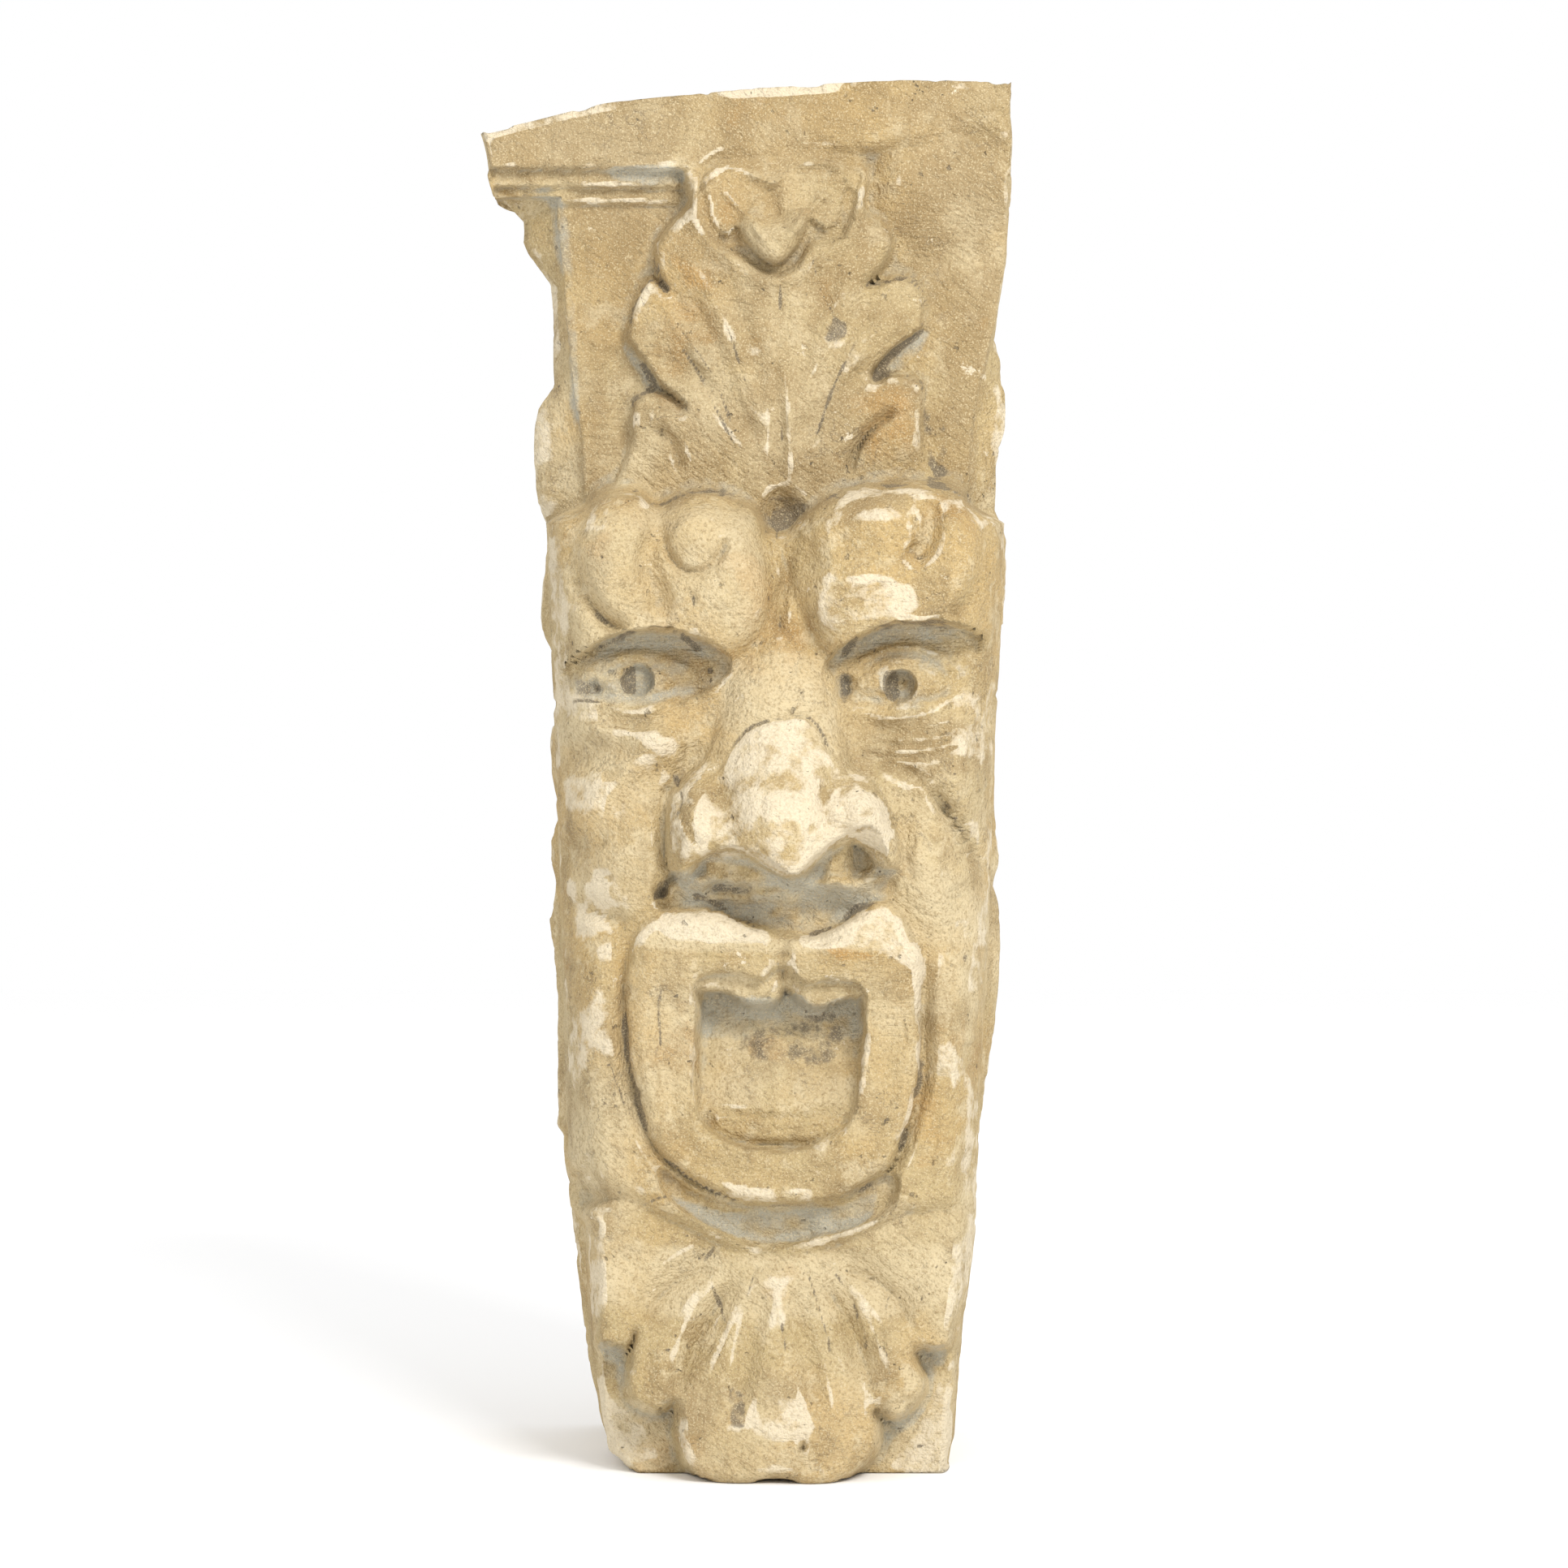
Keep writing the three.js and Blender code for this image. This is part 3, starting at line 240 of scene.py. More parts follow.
def plate(h, x, z, outline, level, rise, soft, blend=2.0, wall=6.0):
    """Stone left standing inside an outline, its rim rounded over soft and falling by rise."""
    loop = curve(outline, True)
    m = near(x, z, loop, PLATE_REACH)
    d = edge(x[m], z[m], loop)
    q = np.clip(1 - d / soft, 0, 1)
    top = part_of(level, m) - rise * (1 - np.sqrt(np.clip(1 - q * q, 0, None))) + np.minimum(d, 0) * wall
    h[m] = smax(h[m], top, blend)
    return h


def pit(h, x, z, outline, floor, blend=2.0, wall=6.0):
    """A hollow down to floor, its walls rising by wall for each mm outwards."""
    loop = curve(outline, True)
    m = near(x, z, loop, DEEPEST / wall + 2)
    low = part_of(floor, m) + np.clip(-edge(x[m], z[m], loop), 0, None) * wall
    h[m] = smin(h[m], low, blend)
    return h


def lift(h, x, z, outline, rise, soft):
    """The area inside an outline raised (or lowered) by rise, easing in over soft."""
    loop = curve(outline, True)
    m = near(x, z, loop, 1)
    h[m] = h[m] + part_of(rise, m) * ramp(edge(x[m], z[m], loop) / soft)
    return h


print("cuts ready")

# %% [markdown]
# ## Outlines
# Across and up in millimetres on the front plane, read from the photograph: the leaf on the brow, the
# brows, the nose, the ring of the lips and the beard. The two sides differ, as hand work does.

# %% Outlines
LEAF_LEFT = [[-47, 758], [-50, 730], [-56, 721], [-65, 712], [-71, 702], [-70, 689], [-64, 678],
             [-74, 685], [-83, 673], [-88, 658], [-87, 647], [-78, 634], [-70, 623], [-60, 617],
             [-70, 621], [-80, 619], [-85, 612], [-85, 590], [-86, 540]]
LEAF_RIGHT = [[84, 540], [84, 590], [85, 612], [84, 625], [76, 630], [64, 631], [56, 627], [60, 634],
              [70, 644], [84, 654], [87, 664], [86, 676], [80, 684], [69, 687], [52, 681], [61, 691],
              [66, 702], [65, 712], [58, 719], [50, 726], [45, 758]]
BROW_LEFT = [[-8, 545], [-2, 522], [1, 505], [-1, 488], [-8, 474], [-20, 462], [-34, 450], [-60, 452],
             [-100, 450], [-128, 446], [-220, 446], [-220, 552], [-128, 551], [-114, 553], [-103, 560],
             [-90, 564], [-78, 562], [-70, 556], [-62, 559], [-48, 564], [-32, 562], [-17, 556]]
BROW_RIGHT = [[16, 550], [30, 561], [48, 566], [75, 568], [98, 566], [116, 557], [128, 554], [220, 554],
              [220, 468], [128, 468], [110, 462], [80, 462], [50, 456], [36, 450], [26, 464], [15, 480],
              [6, 500], [5, 520], [7, 540]]
SOCKET_LEFT = [[-28, 462], [-40, 472], [-56, 477], [-75, 478.5], [-92, 477], [-107, 470], [-122, 460],
               [-124, 448], [-108, 440], [-90, 436], [-70, 437], [-50, 444], [-36, 452]]
SOCKET_RIGHT = [[30, 462], [38, 470], [50, 476], [62, 481], [78, 483], [98, 483], [114, 478], [117, 466],
                [112, 450], [92, 438], [72, 434], [50, 435], [36, 440], [31, 450]]
EYE_LEFT = [[-104, 452], [-96, 459], [-82, 463], [-68, 461], [-57, 453], [-64, 445], [-80, 440], [-96, 443]]
EYE_RIGHT = [[43, 450], [52, 461], [64, 467], [78, 467], [90, 463], [100, 453], [90, 441], [70, 437],
             [52, 440]]
NOSE = [[-6, 482], [-14, 470], [-28, 458], [-34, 448], [-38, 432], [-42, 412], [-54, 397], [-62, 386],
        [-64, 364], [-62, 344], [-54, 336], [-44, 346], [-26, 352], [-14, 349], [-6, 341], [6, 334],
        [18, 336], [27, 349], [36, 358], [48, 356], [60, 345], [69, 345], [72, 356], [67, 374],
        [58, 392], [44, 404], [40, 425], [33, 446], [26, 460], [14, 474]]
RING = [[-66, 321], [-80, 312], [-86, 292], [-88, 262], [-86, 230], [-76, 195], [-62, 174], [-38, 158],
        [-10, 150], [34, 154], [62, 169], [74, 192], [83, 225], [83, 262], [84, 292], [79, 306],
        [68, 324], [52, 326], [32, 311], [16, 307], [-10, 313], [-30, 320], [-48, 324]]
MOUTH = [[-41, 262], [-43, 240], [-44, 214], [-44, 203], [-34, 193], [-14, 185], [12, 185], [32, 194],
         [42, 206], [45, 235], [45, 258], [44, 272], [30, 275], [18, 272], [9, 276], [2, 281], [-6, 275],
         [-16, 276], [-30, 278], [-42, 276]]
TEETH = [[-48, 276], [-42, 274], [-30, 273], [-20, 267], [-9, 265], [0, 268], [4, 276], [11, 269],
         [21, 264], [31, 265], [40, 269], [48, 271], [50, 290], [20, 296], [3, 300], [-20, 298],
         [-46, 292]]
BEARD = [[-111, 146], [-110, 110], [-109, 84], [-108, 72], [-95, 68], [-86, 69], [-82, 78], [-85, 62],
         [-88, 48], [-82, 36], [-68, 32], [-59, 36], [-58, 18], [-52, 0], [-40, -9], [-20, -11], [0, -8],
         [20, -12], [38, -8], [54, 6], [59, 20], [56, 33], [68, 28], [80, 37], [85, 50], [79, 67],
         [92, 66], [102, 72], [110, 95], [114, 120], [115, 146], [90, 150], [60, 150], [44, 142],
         [22, 137], [4, 131], [-12, 130], [-28, 137], [-44, 146], [-60, 158], [-84, 158]]

# %% [markdown]
# ## The carving, mass by mass
# Each function below cuts one part of the mask. Depths are judged from the shading and from how such
# masks are made: the nose stands highest, then the brows, the lips and the cheeks.

# %% Cap moulding


def cap(h, x, z):
    low = 746 + 7 * ramp((x + 50) / 20) + 4 * ramp((x - 90) / 20) - 8 * ramp((x - 112) / 20)
    soft = 4 + 12 * ramp((x + 60) / 50) + 26 * ramp((x - 40) / 60)
    h = np.maximum(h, 15 * ramp((z - 690) / 56) * ramp((x - 36) / 36))
    h = np.maximum(h, 20 * ramp((z - low) / soft + 0.4))
    # two low bands under the fascia at the left
    h = np.maximum(h, 12 * ramp((z - 735) / 3) * ramp((-48 - x) / 16))
    h = np.maximum(h, 5 * ramp((z - 726) / 3) * ramp((-50 - x) / 16))
    return h


# %% Leaf on the brow


def crown(h, x, z):
    outline = LEAF_LEFT + LEAF_RIGHT
    body = 15 + 12 * ramp((92 - np.abs(x)) / 90) - 5 * ramp((610 - z) / 45)
    rise = 5 * ramp((z - 660) / 70) - 10 * ramp((z - 741) / 14)
    h = plate(h, x, z, outline, body + rise, 8, 5, 1.0)
    # the leaf folds along lines that fan up from its foot
    for side in (-1, 1):
        h = ridge(h, x, z, [[side * 8, 585], [side * 30, 630], [side * 62, 684]], 10, -3, 0.2)
        h = ridge(h, x, z, [[side * 8, 585], [side * 40, 622], [side * 80, 646]], 10, -4, 0.2)
        h = ridge(h, x, z, [[side * 5, 600], [side * 18, 650], [side * 40, 700]], 10, -2.5, 0.25)
        h = ridge(h, x, z, [[side * 28, 626], [side * 54, 654], [side * 76, 668]], 12, 4, 0.3)
        h = ridge(h, x, z, [[side * 16, 634], [side * 38, 676], [side * 54, 704]], 11, 3, 0.3)
    h = groove(h, x, z, [[-64, 685], [-44, 648], [-24, 612]], 2.5, 2.2, 0.15)
    h = groove(h, x, z, [[-54, 682], [-36, 648], [-18, 604]], 2.5, 1.6, 0.2)
    h = groove(h, x, z, [[-72, 668], [-48, 636], [-28, 606]], 2.5, 1.6, 0.2)
    h = groove(h, x, z, [[-1, 560], [0, 600], [-1, 640]], 6, 3, 0.2)
    h = ridge(h, x, z, [[8, 560], [7, 600], [5, 630]], 5, 2, 0.3)
    # cuts between the lobes
    h = scarp(h, x, z, [[-88, 650], [-80, 638], [-72, 626], [-62, 618], [-50, 608]], 9, 13, 0.15)
    h = scarp(h, x, z, [[52, 627], [60, 635], [70, 645], [87, 656]], 10, 14, 0.15)
    h = mound(h, x, z, [76, 640], [13, 8], -7, 30)
    h = mound(h, x, z, [-79, 631], [12, 7], -6, -50)
    h = scarp(h, x, z, [[-55, 572], [-58, 582], [-63, 592], [-74, 598]], 7, 7, 0.2)
    h = scarp(h, x, z, [[72, 609], [60, 602], [50, 592], [44, 580], [42, 569]], 8, 10, 0.2)
    h = mound(h, x, z, [-68, 606], [12, 10], 3)
    h = mound(h, x, z, [70, 590], [14, 16], 3)
    # the foot of the leaf sinks between the brows
    h = mound(h, x, z, [4, 550], [16, 18], -12)
    # overturned tip: a raised rim round a sunk channel, and three lobes hanging in it
    tip = [[-40, 758], [-38, 724], [-34, 714], [-28, 711], [-23, 717], [-18, 707], [-9, 697], [-1, 694],
           [6, 698], [14, 710], [18, 721], [23, 718], [29, 715], [35, 724], [37, 758]]
    rim = [[-50, 742], [-47, 722], [-38, 705], [-24, 694], [-2, 683], [14, 690], [24, 700], [40, 710],
           [47, 724], [48, 742]]
    h = ridge(h, x, z, rim, 9, 3.5, 0.1)
    h = pit(h, x, z, [[-45, 750], [-44, 724], [-37, 710], [-24, 701], [-9, 691], [-2, 689], [9, 693],
                      [18, 706], [30, 708], [39, 716], [41, 758], [-45, 758]], 21, 2.0, 3.0)
    h = plate(h, x, z, tip, 41 - 10 * ramp((z - 715) / 30) - 12 * ramp((z - 738) / 12), 9, 8, 1.0)
    # two scooped dishes on top, each under its own thin arch
    h = pit(h, x, z, [[-41, 716], [-43, 732], [-37, 741], [-26, 744], [-12, 742], [-4, 735], [-5, 722],
                      [-13, 728], [-21, 724], [-28, 714]], 24, 3, 1.5)
    h = pit(h, x, z, [[40, 718], [42, 732], [36, 742], [24, 746], [10, 744], [1, 736], [1, 722],
                      [9, 729], [16, 728], [22, 720], [30, 717]], 24, 3, 1.5)
    h = ridge(h, x, z, [[-47, 730], [-42, 742], [-32, 748], [-18, 747], [-4, 739], [6, 747], [20, 751],
                        [34, 749], [43, 740], [46, 728]], 3.5, 4, 0.1)
    h = groove(h, x, z, [[-56, 734], [-46, 746], [-32, 754], [-12, 756], [10, 757], [36, 756],
                         [52, 744]], 4, 3, 0.15)
    h = ridge(h, x, z, [[-34, 738], [-22, 726], [-6, 704]], 4, 3, 0.2)
    h = ridge(h, x, z, [[33, 738], [20, 726], [3, 704]], 4, 3, 0.2)
    h = groove(h, x, z, [[-1, 744], [-2, 730], [-1, 716]], 5, 5, 0.2)
    return h


# %% Mass of the face


def face_mass(h, x, z):
    """The block of the face, from the brows down to the jaw, before any feature is cut."""
    ease = ramp((118 - np.abs(x - 1)) / 60)
    level = 46 + 9 * ease
    outline = [[-220, 515], [0, 505], [220, 515], [220, 146], [118, 148], [96, 145], [78, 144],
               [67, 141], [0, 117], [-66, 143], [-80, 150], [-96, 154], [-112, 165], [-120, 172],
               [-220, 176]]
    h = plate(h, x, z, outline, level, 18, 13, 3.0)
    return h


# %% Brows


def brows(h, x, z):
    h = plate(h, x, z, BROW_LEFT, 70 - 8 * ramp((-98 - x) / 30) - 4 * ramp((z - 535) / 25), 36, 21, 2.0)
    h = plate(h, x, z, BROW_RIGHT, 70 - 7 * ramp((x - 98) / 30) - 4 * ramp((z - 540) / 25), 36, 21, 2.0)
    h = plate(h, x, z, [[-14, 534], [22, 534], [20, 500], [12, 472], [-8, 472], [-18, 500]], 51, 8, 8, 5.0)
    # left: two masses with a valley between, the curl with its crescent, and the fold to the outer lobe
    h = mound(h, x, z, [-92, 520], [30, 40], 8, 10)
    h = mound(h, x, z, [-30, 504], [42, 44], 11, -20)
    h = ridge(h, x, z, [[-70, 560], [-69, 540], [-75, 526], [-73, 512], [-68, 500], [-69, 486]], 10, -8,
              0.15)
    h = mound(h, x, z, [-47, 541], [22, 22], 5)
    h = groove(h, x, z, [[-65, 541], [-64, 529], [-57, 519], [-48, 516], [-38, 520], [-32, 528],
                         [-31, 537]], 4, 7, 0.12)
    h = groove(h, x, z, [[-112, 560], [-117, 542], [-119, 527], [-114, 509], [-103, 492], [-88, 480]], 8,
               12, 0.08)
    h = mound(h, x, z, [-131, 512], [15, 38], 5)
    h = groove(h, x, z, [[-52, 504], [-49, 501], [-51, 497]], 2.4, 2.5, 0.3)
    # right: worn curl, comb-marked patch, and the fold to the outer lobe
    h = mound(h, x, z, [48, 506], [42, 40], 10, 20)
    h = mound(h, x, z, [60, 543], [24, 22], 6)
    h = mound(h, x, z, [102, 522], [22, 40], 7, -10)
    h = ridge(h, x, z, [[86, 562], [88, 545], [84, 530], [74, 521]], 9, -8, 0.2)
    h = groove(h, x, z, [[78, 552], [80, 540], [78, 530], [72, 523]], 3, 4, 0.25)
    h = groove(h, x, z, [[106, 566], [118, 550], [122, 534], [119, 514], [109, 499], [97, 487]], 6, 9, 0.1)
    h = mound(h, x, z, [130, 518], [13, 36], 4)
    h = mound(h, x, z, [50, 500], [32, 13], -3, 12)
    # the line between the brows, softer on its right
    h = mound(h, x, z, [17, 522], [15, 36], -8)
    h = groove(h, x, z, [[5, 550], [2, 532], [5, 514], [2, 498], [1, 476]], 5, 6, 0.15)
    return h


# %% Eyes


def eyes(h, x, z):
    # sockets: sharp under the brow, easing forward to the lower lid
    low = 40 + 5 * ramp((474 - z) / 18) + 9 * ramp((447 - z) / 10)
    h = pit(h, x, z, SOCKET_LEFT, low + 2 * ramp((x + 60) / 25), 1.5, 9.0)
    h = pit(h, x, z, SOCKET_RIGHT, low, 1.5, 9.0)
    # the balls, and lids as low rolls round them
    h = plate(h, x, z, EYE_LEFT, 50, 8, 11, 1.0)
    h = plate(h, x, z, EYE_RIGHT, 51, 9, 12, 1.0)
    h = ridge(h, x, z, [[-112, 455], [-98, 464], [-82, 468], [-62, 465], [-44, 456]], 5, 3, 0.3)
    h = ridge(h, x, z, [[40, 457], [50, 466], [64, 472], [80, 472], [94, 467], [106, 454]], 4, 3.5, 0.25)
    h = ridge(h, x, z, [[-108, 445], [-96, 438], [-80, 435], [-64, 440], [-48, 450]], 5, 3, 0.3)
    h = ridge(h, x, z, [[46, 438], [58, 433], [74, 432], [90, 436], [104, 446]], 5, 4, 0.3)
    h = groove(h, x, z, [[48, 472], [62, 478], [82, 479], [102, 474]], 3, 2, 0.3)
    # drilled pupils and the sunk corners
    h = drill(h, x, z, [-80, 453.5], 9, 11)
    h = drill(h, x, z, [71, 450.5], 9, 12)
    h = groove(h, x, z, [[43, 457], [38, 450], [42, 443]], 7, 10, 0.3)
    h = groove(h, x, z, [[-109, 455], [-106, 450], [-102, 445]], 5, 8, 0.35)
    # folds under the eyes
    for drop in (0, 1, 2):
        h = groove(h, x, z, [[48, 428 - 7 * drop], [72, 423 - 7 * drop], [96, 425 - 6 * drop],
                             [112, 433 - 5 * drop]], 4, 3.5, 0.25)
    h = groove(h, x, z, [[-116, 436], [-94, 429], [-74, 429], [-56, 436]], 5, 3, 0.25)
    return h


# %% Nose


def nose(h, x, z):
    # the whole wedge of the nose, then its ridge, the ball and the wings
    h = plate(h, x, z, NOSE, 58 + 24 * ramp((460 - z) / 90), 20, 15, 2.5)
    half = 10 + 22 * ramp((486 - z) / 36) + 10 * ramp((450 - z) / 60)
    foot = 46 + 14 * ramp((460 - z) / 90) - 50 * ramp((z - 478) / 14) - 90 * ramp((328 - z) / 16)
    h = spine(h, x, 1.5, half, foot, 16 + 8 * ramp((480 - z) / 40) + 19 * ramp((460 - z) / 90), 5)
    h = mound(h, x, z, [54, 428], [24, 32], -8)
    h = mound(h, x, z, [-50, 438], [18, 22], -5)
    h = mound(h, x, z, [1, 368], [36, 40], 8)
    h = mound(h, x, z, [48, 377], [27, 33], 17, -12)
    h = mound(h, x, z, [-45, 364], [28, 36], 15, 8)
    h = groove(h, x, z, [[40, 403], [31, 395], [27, 384], [30, 372], [38, 364]], 6, 5, 0.25)
    h = groove(h, x, z, [[-58, 384], [-53, 370], [-47, 360], [-43, 353]], 4, 3.5, 0.15)
    h = ridge(h, x, z, [[-38, 396], [-30, 380], [-28, 364], [-34, 354]], 10, -3, 0.25)
    # edge of the old repair over the ball
    h = scarp(h, x, z, [[38, 404], [30, 415], [20, 432], [4, 433], [-12, 429], [-24, 421], [-34, 404],
                        [-44, 396]], 6, 2.2, 0.04, 1.2)
    return h


# %% Under the nose


def under_nose(h, x, z):
    # the underside falls back from the rim to the lip
    rim = [[-72, 340], [-62, 341], [-54, 337], [-46, 344], [-38, 353], [-24, 354], [-10, 346], [0, 338],
           [8, 334], [16, 337], [26, 351], [34, 359], [44, 365], [53, 368], [60, 362], [62, 350],
           [68, 344], [76, 340], [72, 330], [52, 325], [32, 310], [16, 306], [-10, 312], [-30, 319],
           [-48, 323], [-66, 322]]
    h = pit(h, x, z, rim, 49 + 0.9 * np.maximum(z - 322, 0), 1.0, 6.0)
    h = mound(h, x, z, [45, 353], [17, 13], -9, 20)
    h = mound(h, x, z, [-27, 344], [14, 9], -8)
    h = groove(h, x, z, [[-52, 343], [-40, 349], [-22, 349], [-6, 340]], 5, 6, 0.2)
    h = groove(h, x, z, [[17, 336], [27, 348], [40, 357], [56, 355], [64, 346]], 5, 7, 0.2)
    h = mound(h, x, z, [-46, 337], [11, 8], 7)
    h = mound(h, x, z, [-9, 328], [12, 8], 6)
    h = mound(h, x, z, [32, 337], [15, 8], 7, 10)
    h = mound(h, x, z, [53, 340], [11, 7], 5)
    h = groove(h, x, z, [[-44, 330], [-30, 334], [-14, 329]], 6, 9, 0.35)
    h = groove(h, x, z, [[-60, 343], [-64, 336], [-69, 327]], 5, 12, 0.2)
    h = groove(h, x, z, [[20, 339], [36, 342], [52, 341], [68, 344]], 3, 2.5, 0.2)
    h = ridge(h, x, z, [[20, 330], [40, 335], [60, 335]], 7, 4, 0.3)
    h = mound(h, x, z, [4, 326], [12, 16], 5)
    return h


# %% Cheeks


def cheeks(h, x, z):
    # left: bag under the eye, a fold falling from the nose, the full cheek under it and two hollows beyond
    h = ridge(h, x, z, [[-58, 426], [-80, 422], [-104, 426], [-124, 432]], 12, 6, 0.3)
    h = ridge(h, x, z, [[-48, 424], [-74, 412], [-94, 396], [-118, 372], [-134, 352]], 15, 8, 0.2)
    h = mound(h, x, z, [-82, 350], [34, 60], 12, 14)
    h = mound(h, x, z, [-116, 408], [24, 15], -9, 35)
    h = mound(h, x, z, [-128, 352], [24, 13], -13, 50)
    h = ridge(h, x, z, [[-46, 420], [-52, 404], [-64, 394]], 9, -5, 0.25)
    h = groove(h, x, z, [[-60, 398], [-65, 378], [-65, 356], [-62, 340]], 7, 8, 0.15)
    h = groove(h, x, z, [[-150, 336], [-130, 330], [-114, 323], [-96, 317], [-78, 314]], 8, 7, 0.3)
    h = groove(h, x, z, [[-104, 400], [-97, 399], [-90, 402]], 4, 4, 0.3)
    h = groove(h, x, z, [[-102, 342], [-98, 339], [-95, 341]], 2, 3, 0.3)
    h = groove(h, x, z, [[-160, 433], [-132, 434], [-104, 438]], 8, 9, 0.4)
    # right: the full cheek, cut off below by a deep slanting fold
    h = mound(h, x, z, [106, 402], [34, 46], 12, -25)
    h = mound(h, x, z, [84, 346], [26, 54], 11, 20)
    h = ridge(h, x, z, [[46, 414], [58, 408], [74, 401], [88, 393]], 5, -4, 0.2)
    h = ridge(h, x, z, [[52, 402], [66, 396], [80, 388]], 6, 3, 0.25)
    h = scarp(h, x, z, [[140, 322], [126, 338], [109, 361], [97, 377], [82, 397]], 13, 9, 0.3)
    h = groove(h, x, z, [[140, 322], [124, 341], [109, 361], [97, 377], [83, 396]], 5, 9, 0.3)
    h = groove(h, x, z, [[71, 380], [74, 366], [74, 350], [80, 334]], 8, 4, 0.2)
    # jowls
    h = mound(h, x, z, [-108, 246], [32, 76], 9)
    h = mound(h, x, z, [108, 246], [30, 84], 9)
    h = ridge(h, x, z, [[-110, 268], [-103, 250], [-101, 225], [-103, 200]], 8, -3, 0.2)
    h = groove(h, x, z, [[124, 296], [119, 276], [118, 256]], 4, 2, 0.3)
    h = groove(h, x, z, [[-96, 232], [-88, 222], [-82, 206]], 5, 2, 0.3)
    h = mound(h, x, z, [-116, 163], [12, 12], -14)
    return h


# %% Mouth


def mouth(h, x, z):
    # channel round the ring, then the ring, which rises to the upper lip and is bevelled on its outer left
    h = groove(h, x, z, RING[1:16], 8, 11, 0.12)
    h = plate(h, x, z, RING, 58 + 9 * ramp((z - 258) / 40), 11, 9, 1.5)
    h = ridge(h, x, z, [[-79, 306], [-83, 280], [-84, 250], [-81, 220], [-72, 196]], 8, -3, 0.15)
    h = mound(h, x, z, [-42, 308], [34, 18], 3)
    h = mound(h, x, z, [42, 304], [34, 20], 3)
    h = ridge(h, x, z, [[3, 318], [2, 304], [2, 292]], 9, -4, 0.15)
    h = ridge(h, x, z, [[-66, 292], [-62, 260], [-62, 214], [-46, 178], [0, 166], [44, 176], [62, 210],
                        [64, 262]], 10, -2, 0.1)
    # the inside: sharp and deepest under the teeth, easing forward to the lower lip
    h = pit(h, x, z, MOUTH, 26 + 20 * ramp((262 - z) / 64), 1.5, 6.0)
    h = plate(h, x, z, TEETH, 55, 5, 5, 1.0, 12.0)
    h = groove(h, x, z, [[3, 300], [3, 284], [4, 270]], 4, 6, 0.2)
    h = groove(h, x, z, [[-31, 296], [-32, 281], [-31, 268]], 3, 1.6, 0.3)
    h = groove(h, x, z, [[44, 292], [43, 277], [44, 264]], 3, 1.6, 0.3)
    # tongue, its blunt end scored by two bands
    h = mound(h, x, z, [0, 222], [34, 40], 4)
    h = groove(h, x, z, [[-41, 208], [-37, 194], [-18, 187], [0, 186], [20, 187], [37, 194], [40, 208]],
               4, 5, 0.1)
    h = groove(h, x, z, [[-38, 207], [-20, 203], [10, 201], [38, 206]], 3.5, 3, 0.1)
    h = groove(h, x, z, [[-36, 200], [-10, 196], [14, 195], [30, 198]], 2.5, 1.5, 0.1)
    h = mound(h, x, z, [-6, 244], [16, 10], 3)
    return h


# %% Beard leaf


def beard(h, x, z):
    # the block's own face beside the beard, then the gap under the chin
    h = np.maximum(h, 20 * ramp((150 - z) / 14))
    h = pit(h, x, z, [[-66, 170], [-50, 158], [-28, 151], [0, 148], [34, 151], [54, 162], [66, 166],
                      [62, 150], [44, 141], [22, 136], [4, 130], [-12, 129], [-28, 136], [-44, 145],
                      [-60, 156]], 41, 2.0, 3.0)
    level = 44 + 15 * ramp((125 - z) / 110) + 6 * ramp((46 - np.abs(x)) / 46)
    h = plate(h, x, z, BEARD, level, 10, 7, 1.5, 8.0)
    h = mound(h, x, z, [0, 130], [60, 26], -6)
    # folds fan from the top and the lobes swell between them
    for side in (-1, 1):
        h = ridge(h, x, z, [[side * 26, 122], [side * 56, 108], [side * 80, 80]], 15, -7, 0.3)
        h = ridge(h, x, z, [[side * 20, 118], [side * 40, 84], [side * 57, 38]], 13, -7.5, 0.3)
        h = ridge(h, x, z, [[side * 6, 112], [side * 16, 70], [side * 26, 20]], 10, -5, 0.25)
        h = groove(h, x, z, [[side * 34, 116], [side * 62, 104], [side * 80, 78]], 3, 4, 0.2)
        h = groove(h, x, z, [[side * 26, 108], [side * 44, 76], [side * 58, 36]], 3, 4, 0.2)
        h = mound(h, x, z, [side * 94, 100], [20, 34], 4, side * -20)
        h = mound(h, x, z, [side * 68, 56], [16, 26], 4, side * 25)
    h = mound(h, x, z, [-28, 20], [24, 40], 4)
    h = mound(h, x, z, [26, 20], [24, 40], 4)
    h = groove(h, x, z, [[-20, 112], [-34, 80], [-44, 56]], 3, 1.8, 0.3)
    h = groove(h, x, z, [[14, 112], [22, 84], [34, 60]], 3, 1.8, 0.3)
    h = drill(h, x, z, [14.5, 12], 2.6, 12)
    return h


# %% All cuts in order


def carve(x, z):
    h = np.zeros(x.shape)
    h = face_mass(h, x, z)
    h = brows(h, x, z)
    h = cheeks(h, x, z)
    h = eyes(h, x, z)
    h = nose(h, x, z)
    h = under_nose(h, x, z)
    h = mouth(h, x, z)
    h = beard(h, x, z)
    h = crown(h, x, z)
    h = cap(h, x, z)
    return h


# %% [markdown]
# ## The block's own outline
# Seen from the front the stone widens upwards in steps: jowls, cheeks, brow ends, scroll bosses and the
# cap's moulding, which turns the left side only. The flank is the widest reach at each height; the
# arris is where the front turns into the side, sharp on the panel and round on the face.

